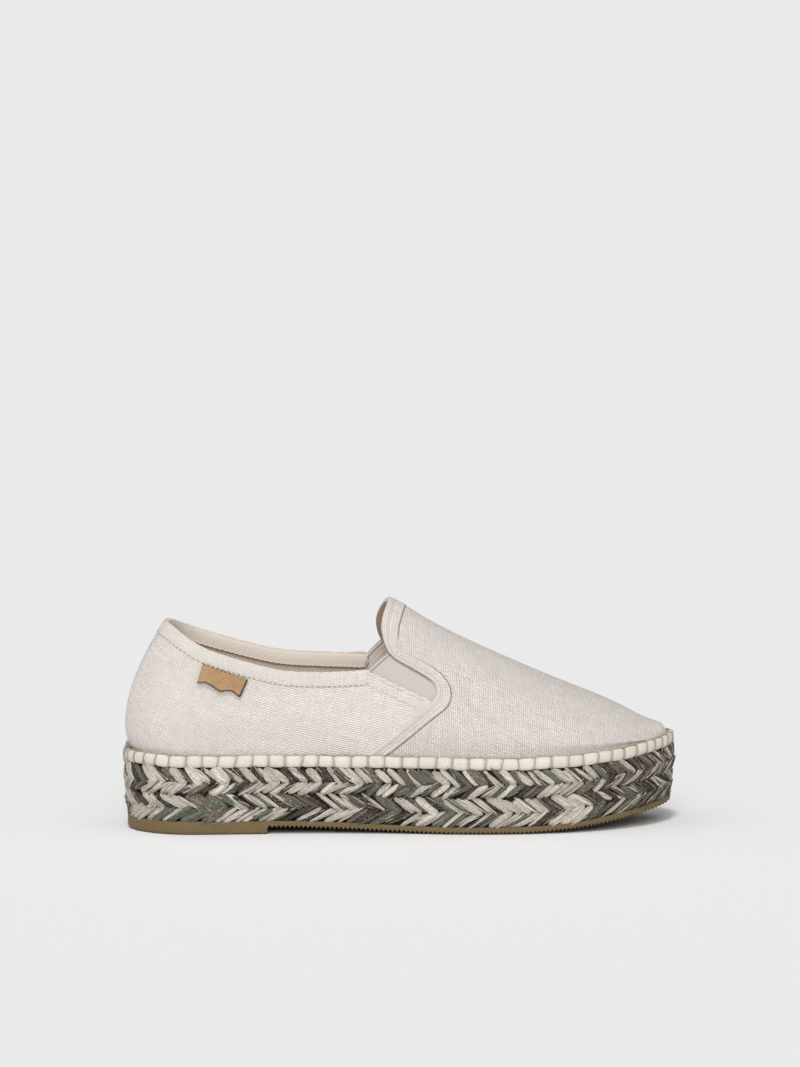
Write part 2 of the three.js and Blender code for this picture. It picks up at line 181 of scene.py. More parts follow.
@dataclass(frozen=True)
class Last:
    """The form that the shoe is built on, with the sole's heights and outline.

    A spot on it is a station, from 0 at the heel to 1 at the toe, and an arch, from -1 at the outer feather
    edge over the ridge at 0 to 1 at the inner one.
    """

    length: float = 262.0
    gap: float = 0.3
    heel_round: float = 34.0
    toe_round: float = 60.0
    spine: Curve = Curve(((0, 0), (45, 0), (85, 0.5), (120, 1), (155, 1), (185, 2.5), (215, 5), (262, 9)))
    outer: Curve = Curve(
        ((0, 34.5), (45, 34.5), (85, 34.5), (120, 38), (155, 43.5), (185, 46), (215, 44.5), (262, 38))
    )
    inner: Curve = Curve(
        ((0, 33.5), (45, 33.5), (85, 32.5), (120, 33), (155, 37.5), (185, 42.5), (215, 43), (262, 38))
    )
    topline: Curve = Curve(
        ((0, 31.5), (60, 31), (110, 30.7), (150, 30.1), (190, 30), (215, 31.1), (240, 33.6), (262, 36.9))
    )
    ridge: Curve = Curve(
        ((0, 116), (70, 117), (112, 112), (130, 104.7), (147, 95.2), (165, 86.1), (200, 70.4), (235, 56.1),
         (262, 45))
    )
    fullness: Curve = Curve(
        ((0, 2.6), (70, 2.6), (112, 2.5), (130, 2.3), (147, 2.2), (165, 2.1), (200, 2.1), (235, 2.2),
         (262, 2.2))
    )
    outsole_thickness: float = 3.4
    heel_block: float = 66.4
    heel_lift: float = 2.8
    arch_end: float = 158.0
    spring_from: float = 180.0
    spring_rise: float = 10.0
    spring_power: float = 1.7
    feather: float = 4.2
    piping_height: float = 5.4
    heel_out: float = 3.6
    heel_widest: float = 50.0
    heel_lean: float = 0.029
    heel_power: float = 1.7
    heel_fade: float = 80.0
    bulge_share: float = 0.04
    bulge_top: float = 0.45
    nose: float = 4.0
    crowding: float = 1.5
    side_power: float = 2.1

    def at(self, station: Array) -> Array:
        """Distance from the heel of a station."""
        return self.length * (1 - np.cos(np.pi * station)) / 2

    def station(self, at: Array | float) -> Array:
        """Station at a distance from the heel."""
        return np.arccos(np.clip(1 - 2 * np.asarray(at, float) / self.length, -1, 1)) / np.pi

    def outsole_top(self, at: Array) -> Array:
        """Height of the outsole's upper face."""
        lift = self.heel_lift * smooth(at, self.arch_end, self.heel_block)
        forward = np.clip(at - self.spring_from, 0, None) / (self.length - self.spring_from)
        return self.outsole_thickness + lift + self.spring_rise * forward**self.spring_power

    def raw_outline(self, station: Array, side: Array | int) -> Array:
        """Widest plan outline, as (..., 2)."""
        at = self.at(station)
        ends = quarter_round(at, self.heel_round) * quarter_round(self.length - at, self.toe_round)
        half = np.where(np.asarray(side) < 0, self.outer(at), self.inner(at))
        return np.stack([at, self.spine(at) + side * half * ends], axis=-1)

    def outline(self, station: Array, side: Array | int, inset: Array | float) -> Array:
        """Plan outline moved inwards along its own normal.

        Args:
            station: stations.
            side: -1 on the outer side and 1 on the inner side.
            inset: distance inwards.

        Returns:
            Plan points, as (..., 2).
        """
        station, side, inset = np.broadcast_arrays(np.asarray(station, float), side, inset)
        step = np.maximum(np.minimum(1e-3, np.minimum(station, 1 - station) / 2), 1e-9)
        ahead = self.raw_outline(station + step, side) - self.raw_outline(station - step, side)
        ahead = unit(ahead)
        inward = np.stack([ahead[..., 1], -ahead[..., 0]], axis=-1) * side[..., None]
        inward = np.where((station <= 1e-6)[..., None], [1.0, 0.0], inward)
        inward = np.where((station >= 1 - 1e-6)[..., None], [-1.0, 0.0], inward)
        return self.raw_outline(station, side) + inward * inset[..., None]

    def lean(self, height: Array) -> Array:
        """How far the back of the heel leans forward at a height."""
        rise = height - self.heel_widest
        depth = self.heel_widest - float(self.topline(0.0)) - self.piping_height - 2 * self.gap
        low = self.heel_out * np.clip(-rise / depth, 0, 1) ** 3
        high = self.heel_lean * np.clip(rise, 0, None) ** self.heel_power
        return np.where(rise < 0, low, high) - self.heel_out

    def form(self, station: Array, arch: Array) -> Array:
        """Points on the closed form, as (..., 3)."""
        station, arch = np.broadcast_arrays(np.asarray(station, float), np.asarray(arch, float))
        outer = self.outline(station, -1, self.feather)
        inner = self.outline(station, 1, self.feather)
        middle = (outer + inner) / 2
        base = np.where((arch < 0)[..., None], outer, inner)
        at = middle[..., 0]
        foot = self.topline(at) + self.gap
        room = self.ridge(at) - foot
        turn = (1 - np.clip(np.abs(arch), 0, 1)) ** self.crowding * np.pi / 2
        up = np.sin(turn) ** (2 / self.fullness(at))
        clear = (self.piping_height + self.gap) / room
        rise = np.clip((up - clear) / (self.bulge_top - clear), 0, 1)
        swell = 1 + self.bulge_share * np.sin(np.pi * rise) ** 2
        out = np.clip(np.cos(turn), 0, None) ** (2 / self.side_power) * swell
        height = foot + room * quarter_round(self.length - self.feather - at, self.nose) * up
        fade = np.clip(1 - at / self.heel_fade, 0, None) ** 1.5
        plan = middle + (base - middle) * out[..., None]
        return np.stack([plan[..., 0] + self.lean(height) * fade, plan[..., 1], height], axis=-1)

    def normal(self, station: Array, arch: Array) -> Array:
        """Outward normals of the form."""
        station, arch = np.broadcast_arrays(np.asarray(station, float), np.asarray(arch, float))
        step = 1e-3
        fore, aft = np.minimum(station + step, 1), np.maximum(station - step, 0)
        left, right = np.minimum(arch + step, 1), np.maximum(arch - step, -1)
        along = self.form(fore, arch) - self.form(aft, arch)
        normal = np.cross(along, self.form(station, left) - self.form(station, right))
        at_end = (station <= 1e-6) | (station >= 1 - 1e-6)
        normal[..., 1] = np.where(at_end, 0, normal[..., 1])
        lost = np.linalg.norm(normal, axis=-1) < 1e-6
        ends = np.where((station < 0.5)[..., None], [-1.0, 0.0, 0.0], [1.0, 0.0, 0.0])
        return unit(np.where(lost[..., None], ends, normal))

    def surface(self, station: Array, arch: Array, offset: Array | float = 0.0) -> Array:
        """Points at an offset along the form's normals."""
        return self.form(station, arch) + self.normal(station, arch) * np.asarray(offset, float)[..., None]

    def search(self, station: Array, side: Array | int, height: Callable[[Array], Array],
               rounds: int) -> Array:
        """Arch where the form rises through a height that depends on the point.

        Args:
            station: stations.
            side: -1 or 1, or one for each station.
            height: the height that is looked for, for each point of the form.
            rounds: how often the arch is halved towards it.

        Returns:
            The arch, with its sign.
        """
        low, high = np.ones(np.shape(station)), np.zeros(np.shape(station))
        for _ in range(rounds):
            middle = (low + high) / 2
            point = self.form(station, side * middle)
            above = point[..., 2] > height(point)
            high = np.where(above, middle, high)
            low = np.where(above, low, middle)
        return side * np.maximum(low, 1e-4)

    def arch_below(self, station: Array, side: Array, edge: "Edge") -> Array:
        """Arch where the form rises through an edge seen from the side.

        Args:
            station: stations.
            side: -1 or 1 for each station.
            edge: the height that is looked for, as a function of x and y.

        Returns:
            The arch, with its sign.
        """
        return self.search(station, side, lambda point: edge.height(point[..., 0], point[..., 1]), 15)

    def locate(self, spots: Array, side: int) -> tuple[Array, Array]:
        """Stations and arches of spots seen from the side.

        Args:
            spots: rows of (x, z, tilt); tilt raises z by that much for each unit of y.
            side: -1 on the outer side and 1 on the inner side.

        Returns:
            The stations and the arches.
        """
        x, z, tilt = spots.T
        at = x
        for _ in range(8):
            station = self.station(at)
            arch = self.search(station, side, lambda point: z + tilt * point[:, 1], 24)
            at = np.clip(at + x - self.form(station, arch)[:, 0], 0.01, self.length - 0.01)
        return self.station(at), arch


@dataclass(frozen=True)
class Edge:
    """An edge seen from the side, as rows of (x, z, tilt)."""

    rows: tuple[Row, ...]

    def height(self, x: Array, y: Array) -> Array:
        """Height of the edge at x and y."""
        table = np.array(self.rows, float)
        z = Curve(tuple(map(tuple, table[:, :2])))(x)
        tilt = np.interp(x, table[:, 0], table[:, 2])
        return z + tilt * y


LAST = Last()


class Tables:
    """Girths of the last, which turn distances over its surface into arches and back."""

    def __init__(self, last: Last, stations: int = 240, arches: int = 150) -> None:
        """Measures the last on a grid.

        Args:
            last: the form.
            stations: steps along it.
            arches: steps up each side.
        """
        self.last = last
        self.stations = np.linspace(0, 1, stations + 1)
        self.arches = np.linspace(0, 1, arches + 1)
        self.girth: dict[int, Array] = {}
        self.walk: dict[int, Array] = {}
        for side in (-1, 1):
            arch = side * np.maximum(self.arches, 1e-5)
            self.girth[side] = run_length(last.form(self.stations[:, None], arch))
            self.walk[side] = run_length(last.outline(self.stations, side, last.feather))

    def rows(self, station: Array, side: int) -> Array:
        """Girth from the ridge at each tabled arch, for these stations."""
        place = np.clip(station, 0, 1) * (len(self.stations) - 1)
        low = np.minimum(place.astype(int), len(self.stations) - 2)
        share = (place - low)[:, None]
        table = self.girth[side]
        return table[low] * (1 - share) + table[low + 1] * share

    def girth_of(self, station: Array, arch: Array) -> Array:
        """Signed distance over the surface from the ridge."""
        girth = np.zeros(len(station))
        for side in (-1, 1):
            chosen = np.sign(arch) * side > 0
            if chosen.any():
                rows = self.rows(station[chosen], side)
                place = np.abs(arch[chosen]) * (len(self.arches) - 1)
                low = np.minimum(place.astype(int), len(self.arches) - 2)
                pick = np.arange(len(low))
                near = rows[pick, low]
                girth[chosen] = side * (near + (rows[pick, low + 1] - near) * (place - low))
        return girth

    def arch_of(self, station: Array, girth: Array) -> Array:
        """Arch at a signed distance over the surface from the ridge."""
        arch = np.zeros(len(station))
        for side in (-1, 1):
            chosen = girth * side >= 0
            if chosen.any():
                rows = self.rows(station[chosen], side)
                wanted = np.abs(girth[chosen])
                low = np.clip((rows < wanted[:, None]).sum(axis=1) - 1, 0, len(self.arches) - 2)
                pick = np.arange(len(low))
                near = rows[pick, low]
                step = np.maximum(rows[pick, low + 1] - near, 1e-9)
                share = np.clip((wanted - near) / step, 0, 1)
                arch[chosen] = side * np.maximum((low + share) / (len(self.arches) - 1), 1e-4)
        return arch

    def full(self, station: Array, side: int) -> Array:
        """Girth from the ridge down to the feather edge."""
        return self.rows(station, side)[:, -1]

    def drape(self, flat: Array, offset: Array | float = 0.0) -> Array:
        """Points of the surface at (distance from the heel, signed girth from the ridge)."""
        shape = flat.shape[:-1]
        at, girth = flat[..., 0].ravel(), flat[..., 1].ravel()
        station = self.last.station(at)
        arch = self.arch_of(station, girth)
        offsets = np.broadcast_to(offset, shape).ravel()
        return self.last.surface(station, arch, offsets).reshape(*shape, 3)

    def flat(self, spots: Sequence[Row], side: int) -> Array:
        """Rows of (x, z, tilt, more...) seen from the side, as (distance from the heel, girth, more...)."""
        table = np.array(spots, float)
        station, arch = self.last.locate(table[:, :3], side)
        return np.column_stack([self.last.at(station), self.girth_of(station, arch), table[:, 3:]])

    def walk_station(self, walk: Array) -> tuple[Array, Array]:
        """Stations and sides at signed distances round the feather edge from the middle of the heel."""
        side = np.where(walk < 0, -1, 1)
        outer = np.interp(-walk, self.walk[-1], self.stations)
        inner = np.interp(walk, self.walk[1], self.stations)
        return np.where(walk < 0, outer, inner), side

    def walk_of(self, at: float, side: int) -> float:
        """Signed distance round the feather edge to a distance from the heel."""
        return side * float(np.interp(self.last.station(at), self.stations, self.walk[side]))


# ---- Mesh building ----


class Placement:
    """Moves the shoe's own millimetres into the row frame, from the jute platform's box."""

    def __init__(self) -> None:
        """Reads the platform's box and centres the outline in it."""
        low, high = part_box("jute_platform")
        stations = np.linspace(0, 1, 400)
        across = np.concatenate([LAST.raw_outline(stations, side)[:, 1] for side in (-1, 1)])
        middle = (across.min() + across.max()) / 2
        self.shift = np.array([low[0], (low[1] + high[1]) / 2 - middle * MM, 0.0])

    def __call__(self, points: Array) -> Array:
        """Points in the row frame, in metres."""
        return np.asarray(points, float) * MM + self.shift


PLACE = Placement()


class Builder:
    """Collects grids of quads, with their pattern coordinates, into one closed mesh."""

    def __init__(self) -> None:
        """Starts with nothing."""
        self.points: list[Array] = []
        self.faces: list[tuple[int, ...]] = []
        self.pattern: list[Row] = []
        self.slots: list[int] = []
        self.marks: list[Array] = []
        self.count = 0

    def grid(
        self,
        points: Array,
        pattern: Array,
        around: bool = False,
        along: bool = False,
        slot: int = 0,
        mark: Array | float = 0.0,
    ) -> "Builder":
        """Adds a grid of quads.

        Args:
            points: (rows, columns, 3).
            pattern: (rows, columns, 2), with one more column or row where the grid closes on itself.
            around: True where the last column joins the first.
            along: True where the last row joins the first.
            slot: material slot.
            mark: a value kept at each point, such as how near an edge it is.

        Returns:
            The builder.
        """
        rows, columns = points.shape[:2]
        base = self.count
        self.points.append(points.reshape(-1, 3))
        self.marks.append(np.broadcast_to(mark, (rows, columns)).ravel())
        self.count += rows * columns
        last_row, last_column = pattern.shape[0] - 1, pattern.shape[1] - 1
        for i in range(rows if along else rows - 1):
            for j in range(columns if around else columns - 1):
                ring = ((i, j), (i, j + 1), (i + 1, j + 1), (i + 1, j))
                self.faces.append(tuple(base + (a % rows) * columns + b % columns for a, b in ring))
                self.pattern.extend(tuple(pattern[min(a, last_row), min(b, last_column)]) for a, b in ring)
                self.slots.append(slot)
        return self

    def cap(self, ring: Array) -> "Builder":
        """Closes an open end with a fan round the middle of its ring of points."""
        middle = np.broadcast_to(ring.mean(axis=0), ring.shape)
        return self.grid(np.stack([ring, middle]), np.zeros((2, len(ring) + 1, 2)), around=True)

    def pipe(self, points: Array, pattern: Array) -> "Builder":
        """Adds a tube's grid and closes both its ends."""
        return self.grid(points, pattern, around=True).cap(points[0]).cap(points[-1])

    def shell(self, outside: Array, inside: Array, pattern: Array, inner: int = 0,
              mark: Array | float = 0.0) -> "Builder":
        """Adds a sheet with thickness.

        Args:
            outside: (rows, columns, 3) outer face.
            inside: the inner face, of the same shape.
            pattern: (rows, columns, 2).
            inner: material slot of the inner face.
            mark: a value kept at each point.

        Returns:
            The builder.
        """
        marks = np.broadcast_to(mark, outside.shape[:2])
        self.grid(outside, pattern, mark=marks)
        self.grid(inside, pattern, slot=inner, mark=marks)
        for pick in ((0, slice(None)), (-1, slice(None)), (slice(None), 0), (slice(None), -1)):
            edge, flat, tint = (np.stack([a[pick], b[pick]])
                                for a, b in ((outside, inside), (pattern, pattern), (marks, marks)))
            self.grid(edge, flat, mark=tint)
        return self

    def build(self, name: str, materials: Sequence[Material],
              sharp: float = 50.0) -> Piece:
        """Makes the object.

        Args:
            name: piece name.
            materials: its materials, in slot order.
            sharp: edges turning by more than this many degrees stay sharp.

        Returns:
            The new object, at the origin.
        """
        mesh = bpy.data.meshes.new(name)
        mesh.from_pydata(PLACE(np.concatenate(self.points)).tolist(), [], self.faces)
        mesh.uv_layers.new(name="cloth").data.foreach_set("uv", np.array(self.pattern, np.float32).ravel())
        mesh.attributes.new("mark", "FLOAT", "POINT").data.foreach_set(
            "value", np.concatenate(self.marks).astype(np.float32)
        )
        mesh.polygons.foreach_set("material_index", np.array(self.slots, np.int32))
        for material in materials:
            mesh.materials.append(material)
        shape = bmesh.new()
        shape.from_mesh(mesh)
        bmesh.ops.remove_doubles(shape, verts=shape.verts, dist=2e-6)
        bmesh.ops.dissolve_degenerate(shape, edges=shape.edges, dist=1e-7)
        bmesh.ops.recalc_face_normals(shape, faces=shape.faces)
        shape.to_mesh(mesh)
        shape.free()
        mesh.polygons.foreach_set("use_smooth", np.ones(len(mesh.polygons), bool))
        mesh.set_sharp_from_angle(angle=math.radians(sharp))
        mesh.update()
        return placed(name, mesh)


def settle(piece: Piece, slot: str, *nodes: str) -> Piece:
    """Fixes a finished piece to the shoe.

    Args:
        piece: the finished object.
        slot: the record's slot that its finish belongs to; not used.
        nodes: CAD nodes that it stands for.

    Returns:
        The piece.
    """
    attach(piece, BODY)
    if nodes:
        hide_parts(*nodes)
    triangles = sum(len(face.vertices) - 2 for face in piece.data.polygons)
    LOG.info("%s: %d triangles", piece.name, triangles)
    return piece


def ring_section(half_out: float, half_up: float, sides: int, power: float) -> Array:
    """Points of a flattened round section, as (outward, upward).

    Args:
        half_out: half its depth.
        half_up: half its height.
        sides: number of points.
        power: 2 for an ellipse, more for squarer shoulders.

    Returns:
        (sides, 2) points.
    """
    turn = np.linspace(0, 2 * np.pi, sides, endpoint=False)
    shape = np.stack([np.cos(turn), np.sin(turn)], axis=1)
    return np.sign(shape) * np.abs(shape) ** (2 / power) * [half_out, half_up]


def tube(path: Array, radius: Array | float, sides: int, up: Array) -> Array:
    """Grid of a round tube along a path.

    Args:
        path: (count, 3) points.
        radius: its radius, or one for each point.
        sides: points round it.
        up: a direction, or one for each point, that the path never runs along.

    Returns:
        (count, sides, 3) points.
    """
    ahead = unit(np.gradient(path, axis=0))
    side = unit(np.cross(ahead, np.broadcast_to(up, path.shape)))
    top = np.cross(side, ahead)
    turn = np.linspace(0, 2 * np.pi, sides, endpoint=False)
    spokes = np.cos(turn)[None, :, None] * side[:, None] + np.sin(turn)[None, :, None] * top[:, None]
    return path[:, None] + spokes * np.broadcast_to(radius, len(path))[:, None, None]


def tube_pattern(path: Array, sides: int, girth: float, closed: bool = False) -> Array:
    """Pattern coordinates for a tube's grid: length along it and girth round it."""
    along = run_length(np.concatenate([path, path[:1]]) if closed else path)
    return lattice(along, np.linspace(0, girth, sides + 1))


# ---- Finishes ----


def srgb(red: float, green: float, blue: float) -> tuple[float, float, float, float]:
    """Linear colour from 0-255 display values."""
    parts = np.array([red, green, blue], float) / 255
    linear = np.where(parts <= 0.04045, parts / 12.92, ((parts + 0.055) / 1.055) ** 2.4)
    return (*linear.tolist(), 1.0)


Socket = bpy.types.NodeSocket
Value = Socket | float | tuple | str


class Net:
    """Short way to add and join the nodes of one tree."""

    def __init__(self, tree: bpy.types.NodeTree) -> None:
        """Works on this tree."""
        self.tree = tree

    def add(self, kind: str, inputs: dict[str | int, Value] | None = None,
            **settings: object) -> bpy.types.Node:
        """Adds a node.

        Args:
            kind: Blender's name for the node's type.
            inputs: sockets to join, or values to set, by name or place.
            settings: the node's own properties.

        Returns:
            The node.
        """
        node = self.tree.nodes.new(kind)
        for name, value in settings.items():
            setattr(node, name, value)
        for key, value in (inputs or {}).items():
            if isinstance(value, Socket):
                self.tree.links.new(value, node.inputs[key])
            else:
                node.inputs[key].default_value = value
        return node

    def effect(self, tree: bpy.types.NodeTree, vector: Socket, **inputs: Value) -> dict[str, Socket]:
        """Places a shared effect on a pattern and gives its outputs by name."""
        node = self.add("ShaderNodeGroup", {"Vector": vector, **inputs}, node_tree=tree)
        return dict(node.outputs.items())

    def math(self, operation: str, *values: Value) -> Socket:
        """Result of one sum on its operands."""
        return self.add("ShaderNodeMath", dict(enumerate(values)), operation=operation).outputs[0]

    def times(self, first: Value, second: Value) -> Socket:
        """Product of two values."""
        return self.math("MULTIPLY", first, second)

    def plus(self, first: Value, second: Value) -> Socket:
        """Sum of two values."""
        return self.math("ADD", first, second)

    def parts(self, vector: Value) -> list[Socket]:
        """The x, y and z of a vector."""
        return list(self.add("ShaderNodeSeparateXYZ", {0: vector}).outputs)

    def join(self, *values: Value) -> Socket:
        """A vector from its x, y and z."""
        return self.add("ShaderNodeCombineXYZ", dict(enumerate(values))).outputs[0]

    def blend(self, share: Value, first: Value, second: Value) -> Socket:
        """Value between two values."""
        return self.add("ShaderNodeMix", {0: share, 2: first, 3: second}).outputs[0]

    def mark(self, name: str) -> Socket:
        """A value that the piece keeps at its points."""
        return self.add("ShaderNodeAttribute", attribute_name=name).outputs["Fac"]

    def stretch(self, vector: Value, factors: Value) -> Socket:
        """A vector with each part multiplied."""
        return self.add("ShaderNodeVectorMath", {0: vector, 1: factors}, operation="MULTIPLY").outputs[0]

    def mix(self, share: Value, first: Value, second: Value) -> Socket:
        """Colour between two colours."""
        node = self.add("ShaderNodeMix", {0: share, 6: first, 7: second}, data_type="RGBA")
        return node.outputs[2]

    def span(self, value: Value, low: float, high: float, start: float = 0.0, end: float = 1.0) -> Socket:
        """A value from low to high spread over start to end, and held there."""
        named = {"Value": value, "From Min": low, "From Max": high, "To Min": start, "To Max": end}
        return self.add("ShaderNodeMapRange", named).outputs[0]

    def noise(self, vector: Value, scale: float, detail: float = 2.0, seed: Value = 0.0) -> Socket:
        """Even noise from 0 to 1."""
        named = {"Vector": vector, "W": seed, "Scale": scale, "Detail": detail}
        return self.add("ShaderNodeTexNoise", named, noise_dimensions="4D").outputs["Fac"]


class Effect(Net):
    """A shader node group that works on a Vector and some numbers."""

    def __init__(self, name: str, *numbers: str) -> None:
        """Starts the group.

        Args:
            name: its name.
            numbers: names of its inputs after Vector.
        """
        super().__init__(bpy.data.node_groups.new(name, "ShaderNodeTree"))
        self.tree.interface.new_socket("Vector", in_out="INPUT", socket_type="NodeSocketVector")
        for label in numbers:
            self.tree.interface.new_socket(label, in_out="INPUT", socket_type="NodeSocketFloat")
        self.given = self.add("NodeGroupInput").outputs

    def give(self, **results: Socket) -> bpy.types.NodeTree:
        """Ends the group with these outputs."""
        for label in results:
            self.tree.interface.new_socket(label, in_out="OUTPUT", socket_type="NodeSocketFloat")
        self.add("NodeGroupOutput", results)
        return self.tree


def weave_group() -> bpy.types.NodeTree:
    """Plain weave of uneven yarns: height of the cloth, and how light each yarn is, with painted shade where
    the cloth dips between yarns.
    """
    net = Effect("Plain weave", "Pitch", "Rows", "Uneven")
    vector, pitch, rows, uneven = list(net.given)[:4]
    push = net.times(net.math("SUBTRACT", net.noise(vector, 0.22, 3.0), 0.5), uneven)
    parts = net.parts(vector)
    turns = [net.math("DIVIDE", net.plus(parts[axis], push), pitch) for axis in (0, 1)]
    yarns = [net.math("FLOOR", turn) for turn in turns]
    humps = [net.math("ABSOLUTE", net.math("SINE", net.times(turn, math.pi))) for turn in turns]
    over = net.math("PINGPONG", net.plus(*yarns), 1.0)
    tops = [net.times(hump, net.math("MULTIPLY_ADD", other, 0.6, 0.4))
            for hump, other in (humps, humps[::-1])]
    height = net.blend(rows, net.blend(over, *tops), humps[1])
    slubs = []
    for axis in (0, 1):
        spot = net.join(net.times(yarns[axis], 1.7), net.times(parts[1 - axis], 0.13), 4.0 * axis)
        slubs.append(net.noise(spot, 1.0, 1.0))
    slub = net.blend(over, *slubs)
    swollen = net.plus(height, net.times(net.math("SUBTRACT", slub, 0.5), 0.9))
    # Shade is each yarn's own tone plus painted shade: the lower the cloth, the darker.
    return net.give(Height=swollen, Shade=net.plus(net.times(height, 0.45), net.times(slub, 0.55)))


def twill_group() -> bpy.types.NodeTree:
    """Herringbone tape: slanted ribs that turn back at each stripe."""
    net = Effect("Herringbone", "Pitch", "Stripe", "Slant")
    vector, pitch, stripe, slant = list(net.given)[:4]
    parts = net.parts(vector)
    slanted = net.plus(parts[0], net.times(net.math("PINGPONG", parts[1], stripe), slant))
    wave = net.math("SINE", net.times(net.math("DIVIDE", slanted, pitch), 2 * math.pi))
    return net.give(Height=net.math("MULTIPLY_ADD", wave, 0.5, 0.5))


def fibre_group() -> bpy.types.NodeTree:
    """Fibres that run along the pattern's first axis: fine streaks, and broad ones."""
    net = Effect("Fibres", "Seed", "Twist", "Fineness", "Shortness")
    vector, seed, twist, fineness, shortness = list(net.given)[:5]
    parts = net.parts(vector)
    across = net.plus(parts[1], net.times(parts[0], twist))
    fine = net.join(net.times(parts[0], shortness), net.times(across, fineness))
    broad = net.join(net.times(parts[0], 0.07), net.times(across, 0.8))
    return net.give(Fine=net.noise(fine, 1.0, 2.0, seed), Broad=net.noise(broad, 1.0, 1.0, seed))


def mottle_group() -> bpy.types.NodeTree:
    """Slow uneven patches, for dye, dust and handling."""
    net = Effect("Mottle", "Scale")
    named = {0: net.given[0], "Scale": net.given[1]}
    scaled = net.add("ShaderNodeVectorMath", named, operation="SCALE").outputs[0]
    specks = net.span(net.noise(scaled, 14.0, 2.0), 0.62, 0.78)
    return net.give(Patches=net.noise(scaled, 1.0, 3.0), Specks=specks)


class Groups:
    """The shared effects, each built once."""

    def __init__(self) -> None:
        """Builds them."""
        self.weave = weave_group()
        self.twill = twill_group()
        self.fibre = fibre_group()
        self.mottle = mottle_group()


@dataclass(frozen=True)
class Finish:
    """What every finish has: a name, a colour and how rough it is."""

    name: str
    colour: Colour
    rough: float = 0.85
    depth: float = 0.1

    def start(self) -> tuple[Material, Net, bpy.types.Node]:
        """Empty material with its shader.

        Returns:
            The material, its Net and its Principled node.
        """
        material = bpy.data.materials.new(self.name)
        material.use_nodes = True
        material.diffuse_color = srgb(*self.colour)
        net = Net(material.node_tree)
        shader = material.node_tree.nodes["Principled BSDF"]
        shader.inputs["Roughness"].default_value = self.rough
        shader.inputs["Specular IOR Level"].default_value = 0.3
        return material, net, shader

    def tone(self, factor: float) -> tuple[float, float, float, float]:
        """The colour made lighter or darker by a factor on its display values, and never beyond white."""
        return srgb(*(np.array(self.colour) * min(factor, 254 / max(self.colour))))

    def paint(self, net: Net, groups: Groups) -> dict[str, Value]:
        """Draws the finish.

        Args:
            net: the material's nodes.
            groups: the shared effects.

        Returns:
            What goes into the shader's sockets by name, and into Height.
        """
        return {}

    def build(self, groups: Groups) -> Material:
        """Makes the material."""
        material, net, shader = self.start()
        for label, value in self.paint(net, groups).items():
            if label == "Height":
                label = "Normal"
                value = net.add("ShaderNodeBump", {"Height": value, "Distance": self.depth * MM}).outputs[0]
            if isinstance(value, Socket):
                net.tree.links.new(value, shader.inputs[label])
            else:
                shader.inputs[label].default_value = value
        return material


def object_mm(net: Net) -> Socket:
    """Object coordinates in millimetres."""
    spot = net.add("ShaderNodeTexCoord").outputs["Object"]
    return net.add("ShaderNodeVectorMath", {0: spot, "Scale": 1 / MM}, operation="SCALE").outputs[0]


def cloth_map(net: Net) -> Socket:
    """The piece's own pattern coordinates, in millimetres."""
    return net.add("ShaderNodeUVMap", uv_map="cloth").outputs[0]


@dataclass(frozen=True)
class Canvas(Finish):
    """Undyed slubby cotton and linen canvas, plain woven."""

    depth: float = 0.3
    pitch: float = 1.05
    rows: float = 0.5
    contrast: float = 0.16

    def paint(self, net: Net, groups: Groups) -> dict[str, Value]:
        """Draws the yarns, soft patches and dark flecks."""
        weave = net.effect(groups.weave, cloth_map(net), Pitch=self.pitch, Rows=self.rows, Uneven=1.1)
        patches = net.effect(groups.mottle, object_mm(net), Scale=0.045)
        # The yarn colour carries the weave's painted shade in its dips.
        shade = net.span(weave["Shade"], 0.2, 0.78)
        yarn = net.mix(shade, self.tone(1 - self.contrast), self.tone(1 + self.contrast * 0.55))
        soft = net.mix(net.span(patches["Patches"], 0.35, 0.7, 0.0, 0.5), yarn, self.tone(0.955))
        fleck = net.times(patches["Specks"], 0.16)
        return {
            "Base Color": net.mix(fleck, soft, self.tone(0.82)),
            "Roughness": net.span(weave["Height"], 0.0, 1.0, self.rough + 0.06, self.rough - 0.04),
            "Sheen Weight": 0.1,
            "Sheen Roughness": 0.6,
            "Height": weave["Height"],
        }


@dataclass(frozen=True)
class Tape(Finish):
    """Herringbone cotton tape."""

    depth: float = 0.2
    pitch: float = 1.25
    stripe: float = 3.4
    slant: float = 1.0
    contrast: float = 0.09

    def paint(self, net: Net, groups: Groups) -> dict[str, Value]:
        """Draws the slanted ribs, fine fibres and soft patches; the colour is darker where the relief is
        lower, as painted shade in the grooves.
        """
        cloth = cloth_map(net)
        twill = net.effect(groups.twill, cloth, Pitch=self.pitch, Stripe=self.stripe, Slant=self.slant)
        patches = net.effect(groups.mottle, object_mm(net), Scale=0.08)
        fine = net.noise(cloth, 1.6, 3.0)
        height = net.plus(twill["Height"], net.times(fine, 0.8))
        dark, light = self.tone(1 - self.contrast), self.tone(1 + self.contrast * 0.4)
        # Painted shade: colour follows the relief height, darker in the grooves.
        ribs = net.mix(net.span(height, 0.2, 1.5), dark, light)
        return {
            "Base Color": net.mix(net.span(patches["Patches"], 0.35, 0.7, 0.0, 0.4), ribs, self.tone(0.93)),
            "Roughness": net.span(fine, 0.2, 0.8, self.rough + 0.05, self.rough - 0.08),
            "Sheen Weight": 0.1,
            "Height": height,
        }


